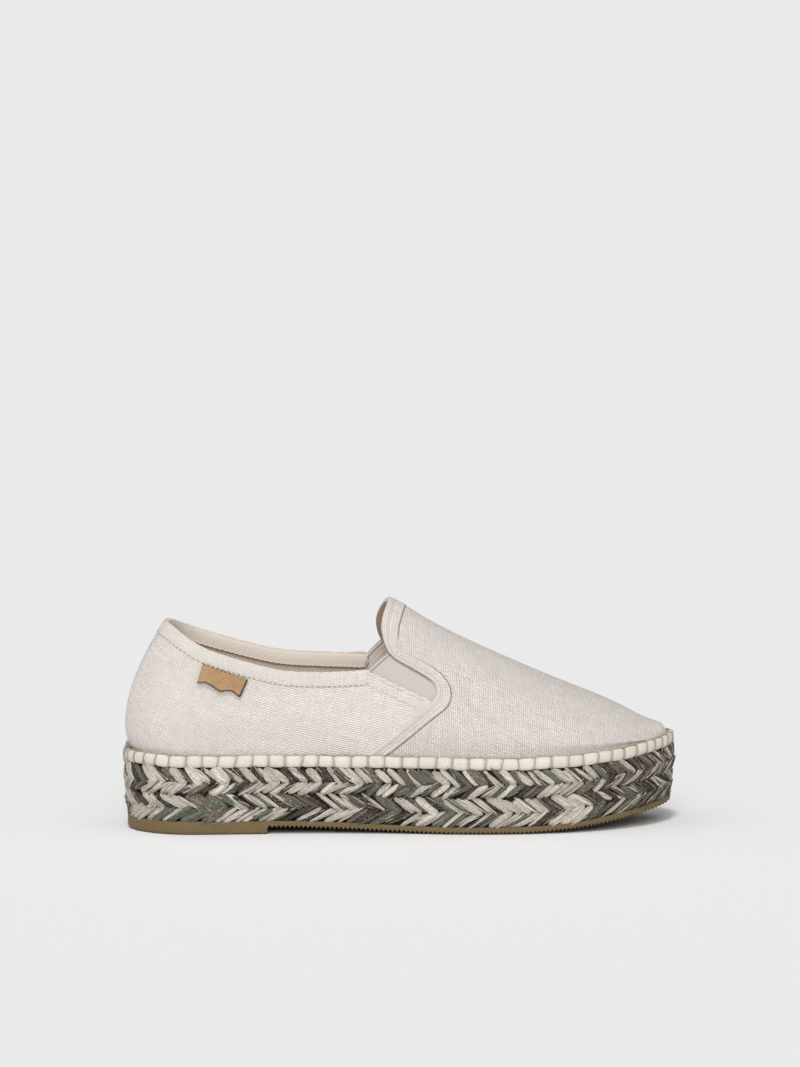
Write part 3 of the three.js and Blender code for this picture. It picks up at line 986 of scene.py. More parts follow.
@dataclass(frozen=True)
class Elastic(Finish):
    """Woven elastic with fine ribs and a slight shine."""

    depth: float = 0.035
    rib_pitch: float = 0.8
    knit_pitch: float = 0.55

    def paint(self, net: Net, groups: Groups) -> dict[str, Value]:
        """Draws the ribs, the knit across them and soft patches; the colour is darker where the ribs dip, as
        painted shade.
        """
        parts = net.parts(cloth_map(net))
        rib = net.math("SINE", net.times(parts[0], 2 * math.pi / self.rib_pitch))
        knit = net.math("SINE", net.times(parts[1], 2 * math.pi / self.knit_pitch))
        height = net.plus(net.times(rib, 0.5), net.times(knit, 0.12))
        patches = net.effect(groups.mottle, object_mm(net), Scale=0.1)
        # Painted shade: colour follows the rib height, darker between the ribs.
        ribs = net.mix(net.span(height, -0.6, 0.6), self.tone(0.985), self.tone(1.01))
        return {
            "Base Color": net.mix(net.times(patches["Patches"], 0.3), ribs, self.tone(0.93)),
            "Roughness": net.span(height, -0.6, 0.6, self.rough + 0.12, self.rough),
            "Sheen Weight": 0.1,
            "Height": height,
        }


@dataclass(frozen=True)
class Jute(Finish):
    """Loosely spun jute in four dyes, picked by each strand's tone."""

    depth: float = 0.3
    dyes: tuple[Row, ...] = ((211, 202, 190), (94, 96, 84), (52, 41, 32), (108, 99, 87))
    shares: tuple[float, ...] = (0.53, 0.69, 0.86)
    pale: Colour = (205, 196, 183)
    deep: Colour = (60, 51, 43)
    fade: float = 0.62
    solid: bool = False

    def paint(self, net: Net, groups: Groups) -> dict[str, Value]:
        """Picks the strand's dye, then draws its fibres and the pale and deep hairs over them."""
        tone = net.mark("tone")
        seed = net.times(tone, 57.0)
        cloth = cloth_map(net)
        fibres = net.effect(groups.fibre, cloth, Seed=seed, Twist=0.05, Fineness=2.3, Shortness=0.13)
        colour: Value = srgb(*self.dyes[0])
        for share, dye in zip(self.shares, self.dyes[1:]):
            colour = net.mix(net.math("GREATER_THAN", tone, share), colour, srgb(*dye))
        if self.solid:
            colour = self.tone(1.0)
        strand = net.math("FRACT", net.times(tone, 23.0))
        streaks = net.span(fibres["Fine"], 0.3, 0.7, 0.5, 1.3)
        value = net.times(net.span(strand, 0, 1, 0.82, 1.1), streaks)
        lit = net.add("ShaderNodeHueSaturation", {"Value": value, "Color": colour}).outputs[0]
        hairs = net.noise(net.stretch(cloth, (1.5, 5.0, 1.0)), 1.0, 3.0, seed)
        pale, deep = (net.times(net.span(hairs, low, high), self.fade)
                      for low, high in ((0.55, 0.66), (0.47, 0.35)))
        return {
            "Base Color": net.mix(deep, net.mix(pale, lit, srgb(*self.pale)), srgb(*self.deep)),
            "Roughness": net.span(fibres["Fine"], 0.2, 0.8, 0.98, 0.82),
            "Height": net.plus(fibres["Fine"], net.times(fibres["Broad"], 0.8)),
        }


@dataclass(frozen=True)
class Yarn(Finish):
    """Twisted thread or smooth covered cord, with fine fibres, and painted shade in the hollows where
    stitches nip the cord.
    """

    depth: float = 0.06
    twist: float = 0.6
    contrast: float = 0.1
    streak: float = 1.6

    def paint(self, net: Net, groups: Groups) -> dict[str, Value]:
        """Draws the fibres, soft patches, and darker marked places: painted shade in the cord's nips, with a
        random tone for each block.
        """
        spun = {"Twist": self.twist, "Fineness": self.streak, "Shortness": 0.42}
        fibres = net.effect(groups.fibre, cloth_map(net), **spun)
        patches = net.effect(groups.mottle, object_mm(net), Scale=0.16)
        streaked = net.mix(net.span(fibres["Fine"], 0.3, 0.7), self.tone(1 - self.contrast), self.tone(1.03))
        # The mark darkens the colour: painted shade in the cord's nips, plus a random tone for each block.
        mark = net.mark("mark")
        soft = net.mix(net.span(patches["Patches"], 0.35, 0.75, 0.0, 0.35), streaked, self.tone(0.9))
        return {
            "Base Color": net.mix(net.times(mark, 0.6), soft, self.tone(0.62)),
            "Roughness": net.span(fibres["Fine"], 0.2, 0.8, self.rough + 0.08, self.rough - 0.08),
            "Sheen Weight": 0.08,
            "Height": net.plus(fibres["Fine"], net.times(fibres["Broad"], 0.5)),
        }


@dataclass(frozen=True)
class Rubber(Finish):
    """Gum rubber, with fine grain, trimming lines and dark dusty specks."""

    depth: float = 0.08

    def paint(self, net: Net, groups: Groups) -> dict[str, Value]:
        """Draws the patches, fine grain, trimming lines and dust."""
        spot = object_mm(net)
        patches = net.effect(groups.mottle, spot, Scale=0.06)
        fine = net.noise(spot, 0.9, 4.0)
        trim = net.noise(net.stretch(spot, (0.08, 0.3, 2.2)), 1.0, 2.0)
        base = net.mix(patches["Patches"], self.tone(0.9), self.tone(1.1))
        worn = net.mix(net.span(fine, 0.5, 0.75, 0.0, 0.35), base, self.tone(1.2))
        return {
            "Base Color": net.mix(net.times(patches["Specks"], 0.35), worn, self.tone(0.62)),
            "Roughness": net.span(fine, 0.25, 0.75, self.rough - 0.1, self.rough + 0.14),
            "Subsurface Weight": 0.08,
            "Subsurface Radius": (0.003, 0.002, 0.001),
            "Height": net.plus(net.times(trim, 0.7), net.times(fine, 0.5)),
        }


@dataclass(frozen=True)
class Leather(Finish):
    """Vegetable-tanned leather with a pebbled grain and burnt cut edges."""

    depth: float = 0.12
    burnt: Colour = (66, 42, 30)

    def paint(self, net: Net, groups: Groups) -> dict[str, Value]:
        """Draws the grain, worn patches and burnt edges."""
        spot = object_mm(net)
        cells = net.add("ShaderNodeTexVoronoi", {"Vector": spot, "Scale": 1.9}).outputs["Distance"]
        fine = net.noise(spot, 2.4, 4.0)
        patches = net.effect(groups.mottle, spot, Scale=0.22)
        grain = net.plus(net.times(cells, 0.7), net.times(fine, 0.6))
        base = net.mix(net.span(grain, 0.2, 0.9), self.tone(0.84), self.tone(1.1))
        worn = net.mix(net.span(patches["Patches"], 0.35, 0.7, 0.0, 0.6), base, self.tone(0.86))
        mark = net.mark("mark")
        rough_edge = net.times(net.math("SUBTRACT", fine, 0.5), 0.4)
        edge = net.span(net.plus(mark, rough_edge), 0.3, 0.95)
        return {
            "Base Color": net.mix(edge, worn, srgb(*self.burnt)),
            "Roughness": net.span(grain, 0.2, 0.9, self.rough + 0.1, self.rough - 0.08),
            "Coat Weight": 0.04,
            "Height": grain,
        }


@dataclass(frozen=True)
class Paper(Finish):
    """Even studio floor."""

    def paint(self, net: Net, groups: Groups) -> dict[str, Value]:
        """Draws a very faint grain."""
        grain = net.times(net.noise(object_mm(net), 0.02, 2.0), 0.02)
        return {"Base Color": net.mix(grain, self.tone(1.0), self.tone(0.995)), "Specular IOR Level": 0.0}


class Wardrobe:
    """Every finish of the shoe, built once."""

    def __init__(self) -> None:
        """Builds the materials."""
        self.groups = Groups()
        self.quarter = self.of(Canvas("Canvas of the quarters", (232, 223, 216), contrast=0.2))
        self.vamp = self.of(Canvas("Canvas of the vamp", (225, 217, 211), rows=0.1, contrast=0.24))
        # The lining is lighter than the cloth it stands for: painted light inside the shoe, where it sits in
        # shade.
        self.lining = self.of(Canvas("Lining cloth", (248, 232, 214), depth=0.08, pitch=0.7))
        self.insole = self.of(Canvas("Insole cloth", (214, 202, 184), depth=0.1, pitch=0.9))
        self.binding = self.of(Canvas("Collar binding", (230, 223, 216), depth=0.2, pitch=0.85, rows=0.1))
        # The herringbone tape is lighter than the collar binding, the outside of the same folded tape:
        # painted light on its shaded inner face.
        self.tape = self.of(Tape("Herringbone tape", (247, 235, 223), depth=0.12, contrast=0.22))
        self.vamp_tape = self.of(Canvas("Vamp binding", (228, 219, 211), rows=0.1, contrast=0.15))
        # The throat tape's brown is painted shade: the cream cloth inside the throat, darkened as if in
        # shadow.
        self.throat_tape_shaded = self.of(Tape("Throat tape", (188, 166, 138), pitch=1.0, stripe=12.0, slant=0.7))
        self.elastic = self.of(Elastic("Elastic webbing", (196, 190, 184), rough=0.5))
        # The backing is a lighter copy of the elastic: painted light on the gores' inner faces, which sit in
        # shade.
        self.backing = self.of(Elastic("Elastic backing", (243, 235, 228), rough=0.6))
        self.jute = self.of(Jute("Braided jute", (150, 141, 128)))
        # The core's near-black brown is painted shadow: it makes the gaps between strands read as shade.
        self.core = self.of(Jute("Jute core", (46, 39, 33), solid=True, fade=0.1))
        self.tuft = self.of(Jute("Frayed jute", (204, 202, 196), solid=True, fade=0.2))
        self.cord = self.of(Yarn("Piping cover", (229, 219, 208), 0.7, 0.05, twist=0.0, contrast=0.05))
        self.whip = self.of(Yarn("Whip thread", (178, 168, 146), 0.8, 0.1, twist=1.2, streak=3.0))
        self.blanket = self.of(Yarn("Edge thread", (176, 167, 134), 0.85, 0.12, twist=1.2, streak=3.0))
        self.thread = self.of(Yarn("Sewing thread", (222, 212, 198), 0.75, twist=1.2, streak=3.0))
        # The dark seam thread stands for shadow lines along the vamp seam, the tape edges and the gores' top
        # edges: painted shadow.
        self.seam = self.of(Yarn("Seam thread", (128, 115, 102), 0.9, twist=1.2, streak=3.0))
        self.rubber = self.of(Rubber("Gum rubber", (111, 94, 64), rough=0.55))
        self.leather = self.of(Leather("Tan leather", (173, 137, 97), rough=0.55))
        self.paper = self.of(Paper("Studio floor", (247, 247, 247), rough=1.0))

    def of(self, finish: Finish) -> Material:
        """The material of a finish."""
        return finish.build(self.groups)


# ---- Geometry Nodes for what repeats ----


@dataclass
class Spots:
    """Places for a repeated shape: where it sits, which ways it runs and faces, its size and its tone."""

    points: Array
    aim: Array
    face: Array
    size: Array
    tone: Array

    def mesh(self, name: str) -> Piece:
        """The places as loose points that carry the rest as attributes."""
        mesh = bpy.data.meshes.new(name)
        mesh.from_pydata(PLACE(self.points).tolist(), [], [])
        for label, values in (("aim", self.aim), ("face", self.face), ("size", self.size)):
            layer = mesh.attributes.new(label, "FLOAT_VECTOR", "POINT")
            layer.data.foreach_set("vector", np.asarray(values, np.float32).ravel())
        mesh.attributes.new("tone", "FLOAT", "POINT").data.foreach_set("value", self.tone.astype(np.float32))
        return placed(name, mesh)


class Nodes(Net):
    """A Geometry Nodes tree with named inputs."""

    def __init__(self, name: str, inputs: dict[str, tuple[str, object]]) -> None:
        """Starts the tree.

        Args:
            name: its name.
            inputs: socket kind and default by name.
        """
        super().__init__(bpy.data.node_groups.new(name, "GeometryNodeTree"))
        self.tree.interface.new_socket("Geometry", in_out="INPUT", socket_type="NodeSocketGeometry")
        self.ids: dict[str, str] = {}
        for label, (kind, value) in inputs.items():
            socket = self.tree.interface.new_socket(label, in_out="INPUT", socket_type=kind)
            if value is not None:
                socket.default_value = value
            self.ids[label] = socket.identifier
        self.tree.interface.new_socket("Geometry", in_out="OUTPUT", socket_type="NodeSocketGeometry")
        self.given = self.add("NodeGroupInput")

    def close(self, geometry: Socket) -> None:
        """Ends the tree: the copies are made real and given their material."""
        real = self.add("GeometryNodeRealizeInstances", {0: geometry}).outputs[0]
        named = {"Geometry": real, "Material": self.given.outputs["Material"]}
        self.add("NodeGroupOutput", {0: self.add("GeometryNodeSetMaterial", named).outputs[0]})

    def run(self, base: Piece, name: str, values: dict[str, object]) -> Piece:
        """Runs the tree on an object and keeps the result as a plain mesh.

        Args:
            base: the object that carries the tree while it runs; it is removed, and so is the repeated shape.
            name: name of the new piece.
            values: inputs by name.

        Returns:
            The new piece.
        """
        modifier = base.modifiers.new(self.tree.name, "NODES")
        modifier.node_group = self.tree
        for label, value in values.items():
            modifier[self.ids[label]] = value
        shown = base.evaluated_get(bpy.context.evaluated_depsgraph_get())
        mesh = bpy.data.meshes.new_from_object(shown)
        mesh.name = name
        base.modifiers.remove(modifier)
        bpy.data.objects.remove(base)
        bpy.data.objects.remove(values["Shape"])
        mesh.polygons.foreach_set("use_smooth", np.ones(len(mesh.polygons), bool))
        return placed(name, mesh)


class Repeater(Nodes):
    """Sets one small shape at every spot, turned and scaled as the spot says."""

    def __init__(self) -> None:
        """Builds the tree."""
        super().__init__("Set along a line", {
            "Shape": ("NodeSocketObject", None),
            "Length": ("NodeSocketFloat", 1.0),
            "Width": ("NodeSocketFloat", 1.0),
            "Thickness": ("NodeSocketFloat", 1.0),
            "Unevenness": ("NodeSocketFloat", 0.1),
            "Seed": ("NodeSocketInt", 1),
            "Material": ("NodeSocketMaterial", None),
        })
        aim, face, size = (
            self.add("GeometryNodeInputNamedAttribute", {0: label}, data_type="FLOAT_VECTOR").outputs[0]
            for label in ("aim", "face", "size")
        )
        first = self.add("FunctionNodeAlignRotationToVector", {"Vector": aim}, axis="X")
        turned = self.add("FunctionNodeAlignRotationToVector", {"Rotation": first.outputs[0], "Vector": face},
                          axis="Z", pivot_axis="X")
        given = self.given.outputs
        low = self.math("SUBTRACT", 1.0, given["Unevenness"])
        high = self.plus(1.0, given["Unevenness"])
        limits = {0: self.join(low, low, low), 1: self.join(high, high, high), "Seed": given["Seed"]}
        uneven = self.add("FunctionNodeRandomValue", limits, data_type="FLOAT_VECTOR").outputs[0]
        sizes = self.join(given["Length"], given["Width"], given["Thickness"])
        scale = self.stretch(self.stretch(size, sizes), uneven)
        shape = self.add("GeometryNodeObjectInfo", {"Object": given["Shape"]})
        copies = self.add("GeometryNodeInstanceOnPoints", {
            "Points": given["Geometry"], "Instance": shape.outputs["Geometry"], "Rotation": turned.outputs[0],
            "Scale": scale,
        })
        self.close(copies.outputs[0])

    def set(self, name: str, shape: Piece, spots: Spots, finish: Material, slot: str,
            size: Row = (1.0, 1.0, 1.0), uneven: float = 0.1,
            seed: int = 1) -> Piece:
        """Sets a shape at its places and fixes the finished piece to the shoe.

        Args:
            name: piece name.
            shape: the shape, which is removed afterwards.
            spots: its places.
            finish: its material.
            slot: the record's slot that its finish belongs to.
            size: its length, width and thickness.
            uneven: how much the copies differ in size, as a share.
            seed: for the differences.

        Returns:
            The piece.
        """
        made = self.run(spots.mesh(name), name, {
            "Shape": shape, "Length": size[0], "Width": size[1], "Thickness": size[2], "Unevenness": uneven,
            "Seed": seed, "Material": finish,
        })
        return settle(made, slot)


class Fuzz(Nodes):
    """Scatters short bent hairs over a surface."""

    def __init__(self) -> None:
        """Builds the tree."""
        super().__init__("Loose fibres", {
            "Shape": ("NodeSocketObject", None),
            "Density": ("NodeSocketFloat", 10000.0),
            "Shortest": ("NodeSocketFloat", 0.5),
            "Longest": ("NodeSocketFloat", 1.2),
            "Seed": ("NodeSocketInt", 1),
            "Material": ("NodeSocketMaterial", None),
        })
        given = self.given.outputs
        spread = self.add("GeometryNodeDistributePointsOnFaces", {
            "Mesh": given["Geometry"], "Density": given["Density"], "Seed": given["Seed"]})
        tilt = self.add("FunctionNodeRandomValue", {0: (-1.3, -1.3, -3.14), 1: (1.3, 1.3, 3.14),
                                                    "Seed": given["Seed"]}, data_type="FLOAT_VECTOR")
        turned = self.add("FunctionNodeRotateRotation", {
            "Rotation": spread.outputs["Rotation"],
            "Rotate By": self.add("FunctionNodeEulerToRotation", {0: tilt.outputs[0]}).outputs[0],
        }, rotation_space="LOCAL")
        size = self.add("FunctionNodeRandomValue", {
            2: given["Shortest"], 3: given["Longest"], "Seed": given["Seed"]}, data_type="FLOAT")
        shape = self.add("GeometryNodeObjectInfo", {"Object": given["Shape"]})
        copies = self.add("GeometryNodeInstanceOnPoints", {
            "Points": spread.outputs["Points"], "Instance": shape.outputs["Geometry"],
            "Rotation": turned.outputs[0], "Scale": size.outputs[1],
        })
        tone = self.add("FunctionNodeRandomValue", {"Seed": given["Seed"]}, data_type="FLOAT").outputs[1]
        toned = self.add("GeometryNodeStoreNamedAttribute", {
            "Geometry": copies.outputs[0], "Name": "tone", "Value": tone,
        }, data_type="FLOAT", domain="INSTANCE")
        self.close(toned.outputs[0])


def template(name: str, points: Array) -> Piece:
    """A small closed shape to repeat, drawn round the origin in millimetres.

    Args:
        name: its name.
        points: (sections, sides, 3) grid, first axis along it.

    Returns:
        The object.
    """
    sections, sides = points.shape[:2]
    middles = points.mean(axis=1)
    radius = np.linalg.norm(points[sections // 2] - middles[sections // 2], axis=1).mean()
    pattern = lattice(run_length(middles), np.linspace(0, radius * 6.28, sides + 1))
    shift, PLACE.shift = PLACE.shift, np.zeros(3)
    made = Builder().pipe(points, pattern).build(name, [])
    PLACE.shift = shift
    return made


def stitch_shape() -> Piece:
    """One short plump stitch, a millimetre long and thick, sunk at both ends."""
    along = np.array([-0.5, -0.44, -0.25, 0.0, 0.25, 0.44, 0.5])
    width = np.array([0.22, 0.7, 0.95, 1.0, 0.95, 0.7, 0.22]) * 0.5
    drop = -0.35 * (np.abs(along) * 2) ** 3
    path = np.stack([along, np.zeros(7), drop], axis=1)
    return template("stitch_shape", tube(path, width, 6, UP))


def stitch_spots(line: Array, face: Array, pitch: float) -> Spots:
    """Stitch places along a line on the surface.

    Args:
        line: (count, 3) points.
        face: outward directions at them.
        pitch: distance from one stitch to the next.

    Returns:
        The places, one for each stitch.
    """
    along = run_length(line)
    places = np.arange(pitch / 2, along[-1] - pitch / 2, pitch)
    reach = min(pitch * 0.4, 1.0)
    aim = unit(between(places + reach, along, line) - between(places - reach, along, line))
    count = len(places)
    out = unit(between(places, along, face))
    return Spots(between(places, along, line), aim, out, np.ones((count, 3)), np.linspace(0, 1, count))


def joined(*parts: Spots) -> Spots:
    """Several sets of places as one."""
    return Spots(*(np.concatenate([getattr(part, name) for part in parts])
                   for name in ("points", "aim", "face", "size", "tone")))


# ---- Creases ----


@dataclass(frozen=True)
class Crease:
    """A soft trough (lift below 0) or ridge, along spots seen from the side as (x, z)."""

    spots: tuple[Row, ...]
    side: int
    width: float
    lift: float

    def height(self, points: Array) -> Array:
        """How far the crease moves each point along its normal."""
        flat = np.array([(x, z, 0.0) for x, z in self.spots])
        line = LAST.form(*LAST.locate(flat, self.side))
        line = even_line(np.column_stack([line[:, [0, 2]], line]), 1.5)[:, 2:]
        share = np.linspace(0, 1, len(line))
        fade = np.sin(np.pi * np.clip(share, 0.02, 0.98)) ** 0.7
        spread = points.reshape(-1, 3)
        gap = np.linalg.norm(spread[:, None] - line[None], axis=2)
        near = gap.argmin(axis=1)
        lift = self.lift * fade[near] * np.exp(-((gap[np.arange(len(near)), near] / self.width) ** 2))
        return lift.reshape(points.shape[:-1])


QUARTER_CREASES = (
    Crease(((30, 80), (33, 66), (31, 52), (27, 43)), -1, 3.2, -0.45),
    Crease(((40, 68), (43, 58), (44, 46)), -1, 3.6, 0.35),
    Crease(((58, 66), (64, 55), (66, 45)), -1, 4.5, -0.35),
    Crease(((80, 64), (92, 57), (104, 52), (112, 48)), -1, 4.5, -0.5),
    Crease(((84, 58), (98, 50), (110, 44)), -1, 4.0, 0.35),
    Crease(((52, 50), (66, 44), (84, 41)), -1, 3.5, -0.35),
    Crease(((12, 78), (9, 64), (8, 52)), -1, 4.0, -0.3),
    Crease(((34, 82), (38, 66), (35, 50)), 1, 3.6, -0.45),
    Crease(((62, 70), (78, 60), (98, 52)), 1, 4.5, -0.5),
    Crease(((50, 60), (60, 50), (78, 44)), 1, 4.0, 0.35),
    Crease(((90, 64), (100, 56), (108, 46)), 1, 3.6, -0.35),
)
VAMP_CREASES = (
    Crease(((156, 66), (170, 59), (190, 52)), -1, 4.5, -0.4),
    Crease(((150, 78), (164, 72), (182, 64), (200, 57)), -1, 5.0, 0.35),
    Crease(((148, 56), (160, 50), (172, 47)), -1, 3.6, -0.4),
    Crease(((176, 78), (180, 70), (178, 60)), -1, 5.0, -0.35),
    Crease(((206, 62), (216, 54), (224, 46)), -1, 5.0, -0.3),
    Crease(((158, 64), (172, 56), (190, 50)), 1, 4.0, -0.45),
    Crease(((178, 77), (184, 68), (182, 58)), 1, 4.5, -0.4),
    Crease(((204, 60), (214, 52), (222, 45)), 1, 4.5, -0.3),
)


# ---- The upper ----


class Stitchwork:
    """Whip stitches over the piping: where they are, and how they pull the canvas in above it."""

    inset = 2.0
    side_pitch = 7.7
    end_pitch = 6.2

    def __init__(self, tables: Tables) -> None:
        """Spaces the stitches once round the shoe.

        Args:
            tables: the last's measures.
        """
        stations = np.linspace(0, 1, 1500)
        outer = LAST.outline(stations, -1, self.inset)
        inner = LAST.outline(stations, 1, self.inset)[::-1]
        self.plan = np.concatenate([outer, inner[1:-1]])
        self.stations = np.concatenate([stations, stations[::-1][1:-1]])
        self.sides = np.concatenate([np.full(1500, -1), np.full(1498, 1)])
        self.along = run_length(self.plan)
        self.total = self.along[-1] + float(np.linalg.norm(self.plan[0] - self.plan[-1]))
        rng = np.random.default_rng(11)
        places = [1.5]
        while places[-1] < self.total - 4.5:
            at = float(np.interp(places[-1], self.along, LAST.at(self.stations)))
            ends = max(0.2 * float(smooth(at, 30, 6)), float(smooth(at, 228, 252)))
            pitch = self.side_pitch + (self.end_pitch - self.side_pitch) * ends
            places.append(places[-1] + pitch * rng.uniform(0.93, 1.07))
        self.places = np.array(places[:-1])
        self.pull = rng.uniform(0.6, 1.3, len(self.places))
        station = np.interp(self.places, self.along, self.stations)
        side = np.where(self.places < self.along[1499], -1, 1)
        self.walks = np.array([tables.walk_of(float(LAST.at(s)), int(k)) for s, k in zip(station, side)])

    def pucker(self, walk: Array, above: Array, depth: float) -> Array:
        """How far the stitches pull the canvas in.

        Args:
            walk: signed distance round the feather edge.
            above: height over the feather edge, along the cloth.
            depth: pull at a stitch, in millimetres.

        Returns:
            Offsets, below 0 where the cloth goes in.
        """
        gap = np.abs(walk[..., None] - self.walks)
        near = gap.argmin(axis=-1)
        distance = np.take_along_axis(gap, near[..., None], axis=-1)[..., 0]
        pull = self.pull[near]
        fall = np.exp(-np.clip(above - 5.0, 0, None) / 4.2)
        wave = np.exp(-((distance / 1.9) ** 2)) - 0.35
        return -depth * pull * wave * fall


@dataclass
class Upper:
    """Canvas quarters and vamp with their linings, tapes, gores and heel tab."""

    tables: Tables
    whip: Stitchwork
    finishes: Wardrobe
    repeat: Repeater
    wall: float = 1.8
    canvas: float = 0.9
    step: float = 1.35
    front: float = 150.0
    tape_width: float = 6.8
    tape_thickness: float = 0.32
    tape_ends: tuple[float, float] = (114.4, 117.0)
    vamp_lift: float = 0.4
    gore_depth: float = 1.0
    gore_thickness: float = 1.0
    tab_corners: tuple[Row, ...] = ((37.0, 79.3), (57.6, 71.7), (53.8, 63.5), (34.0, 70.5))
    tab_size: tuple[float, float] = (21.0, 8.4)
    tab_wave: tuple[Row, ...] = (
        (0, 0), (0.08, 0.6), (0.18, 1.45), (0.28, 1.3), (0.37, 0.7), (0.45, 0.0), (0.54, -0.4), (0.62, 0.4),
        (0.71, 1.4), (0.8, 1.7), (0.87, 1.5), (0.94, 0.75), (1.0, 0.0),
    )

    collar = Edge((
        (-20, 99.5, 0.02), (12, 99.5, 0.02), (22, 97, 0.04), (27, 94.2, 0.06), (33, 91, 0.08), (40, 88, 0.1),
        (50, 84.8, 0.1), (61, 81.6, 0.1), (75, 78.5, 0.1), (93, 77.5, 0.09), (106, 77.5, 0.07),
        (114, 77.6, 0.055),
    ))
    gore_low = ((113.4, 75.7, 0), (118.6, 73.1, 0), (124, 70.4, 0), (130, 67.5, 0), (136, 64.8, 0),
                (142, 61.8, 0))
    gore_high = ((123.2, 85.3, 0.05), (126.4, 81.2, 0.02), (131, 78.1, 0), (136.3, 75.1, 0), (141, 72.3, 0),
                 (145.2, 69.4, 0))
    # Rear edge of the vamp, feather to throat: x, z, tilt, width of its tape, depth of the seam beside it.
    vamp_edge = (
        (110.5, 34.2, 0, 4.4, 1), (115.3, 38.1, 0, 4.4, 1), (119.4, 41.3, 0, 4.4, 1),
        (125.5, 46.4, 0, 4.4, 1), (131.7, 51.6, 0, 4.4, 1), (137.9, 56.8, 0, 4.5, 1), (142, 60.4, 0, 5, 1),
        (144.5, 63.4, 0, 6.2, 1),
        (145.4, 66.4, 0, 7, 1), (144.9, 69.2, 0, 7, 0.9), (142.4, 71.8, 0, 6.6, 0.3), (136.3, 75.3, 0, 6, 0),
        (131, 78.3, 0, 5.6, 0), (126.6, 81.3, 0.02, 5.4, 0), (123.6, 84.1, 0.04, 5.4, 0),
        (121.9, 87.2, 0.04, 5.8, 0.1), (121, 90.5, 0.03, 6.6, 0.5), (120.2, 95, 0, 7.4, 0.9),
        (120.9, 99.6, 0, 7.4, 1), (122.6, 103.4, 0, 7.2, 1),
    )
    throat_top: float = 125.2

    def rim(self, side: int) -> Edge:
        """Top edge of the quarter: the collar, then the gore's lower edge, then on under the vamp."""
        collar = tuple(row for row in self.collar.rows if row[0] < 113)
        turn = ((112.9, 77.4, 0.055), self.gore_low[0])
        if side > 0:
            turn = ((116.4, 77.8, 0.055), (117.0, 74.0, 0.0))
        return Edge((*collar, *turn, *self.gore_low[1:], (147, 57.0, 0.0), (160, 46.0, 0.0)))

    def arches(self, station: Array, side: Array, top: Array, steps: int) -> Array:
        """Arches evenly spaced over the surface from the feather edge to a top arch.

        Args:
            station: stations of the columns.
            side: -1 or 1 for each.
            top: arch at the top of each.
            steps: number of steps.

        Returns:
            (columns, steps + 1) arches.
        """
        share = np.linspace(0, 1, 70)
        trial = side[:, None] + (top - side)[:, None] * share
        lengths = run_length(LAST.form(station[:, None], trial))
        even = np.linspace(0, 1, steps + 1)
        return np.stack([np.interp(even * row[-1], row, arch) for row, arch in zip(lengths, trial)])

    def quarter_grid(self) -> tuple[Array, ...]:
        """Stations, arches, walks and girths of the quarter's grid."""
        ends = [self.tables.walk_of(self.front, side) for side in (-1, 1)]
        walk = np.linspace(ends[0], ends[1], int((ends[1] - ends[0]) / self.step))
        station, side = self.tables.walk_station(walk)
        top = np.where(side < 0, LAST.arch_below(station, side, self.rim(-1)),
                       LAST.arch_below(station, side, self.rim(1)))
        arch = self.arches(station, side, top, 50)
        points = LAST.form(station[:, None], arch)
        return np.broadcast_to(station[:, None], arch.shape), arch, walk, run_length(points), points

    def quarter_pattern(self, walk: Array, girth: Array) -> Array:
        """Where the weave lies on the quarter: its rows slope steeply at the heel and less further on."""
        far, fine = np.sqrt(walk**2 + 14.0**2), np.linspace(0, 260, 600)
        slope, slopes = (0.22 + 0.42 * smooth(at, 105, 30) for at in (far, fine))
        drops = np.append(0, np.cumsum((slopes[1:] + slopes[:-1]) / 2 * np.diff(fine)))
        drop = np.interp(far, fine, drops)
        across = walk[:, None] - (slope * walk / far)[:, None] * girth
        return np.stack([across, girth + drop[:, None]], axis=-1)

    def lined(self, name: str, faces: Sequence[Array], pattern: Array, finish: Material,
              *nodes: str) -> None:
        """Builds a sheet of canvas and its lining.

        Args:
            name: the sheet's name.
            faces: outer and inner face of the canvas, then of the lining.
            pattern: where the weave lies.
            finish: the canvas.
            nodes: CAD nodes that the canvas stands for.
        """
        canvas = Builder().shell(*faces[:2], pattern).build(f"{name}_canvas", [finish])
        settle(canvas, "canvas", *nodes)
        settle(Builder().shell(*faces[2:], pattern).build(f"{name}_lining", [self.finishes.lining]), "lining")

    def make_quarter(self) -> None:
        """Builds the quarter canvas and its lining as one band round the heel."""
        station, arch, walk, girth, points = self.quarter_grid()
        pattern = self.quarter_pattern(walk, girth)
        relief = sum(crease.height(points) for crease in QUARTER_CREASES)
        free = smooth(girth, 0, 9) * smooth(girth[:, -1:] - girth, 0, 9)
        relief = relief * free + self.whip.pucker(walk[:, None] + 0 * girth, girth, 0.32)
        at = LAST.at(station)
        hem = smooth(at, 112, 115) * smooth(girth[:, -1:] - girth, 8.0, 6.6)
        under = smooth(at - self.vamp_rear(arch), 2.2, 5.0)
        relief = relief * (1 - under)
        outside = LAST.surface(station, arch, relief + 0.35 * hem * (1 - under) - 0.45 * under)
        inside = LAST.surface(station, arch, relief * 0.6 - self.canvas)
        behind = LAST.surface(station, arch, relief * 0.6 - self.canvas - 0.02)
        innermost = LAST.surface(station, arch, relief * 0.8 - self.wall)
        faces = (outside, inside, behind, innermost)
        self.lined("quarter", faces, pattern, self.finishes.quarter, "upper")

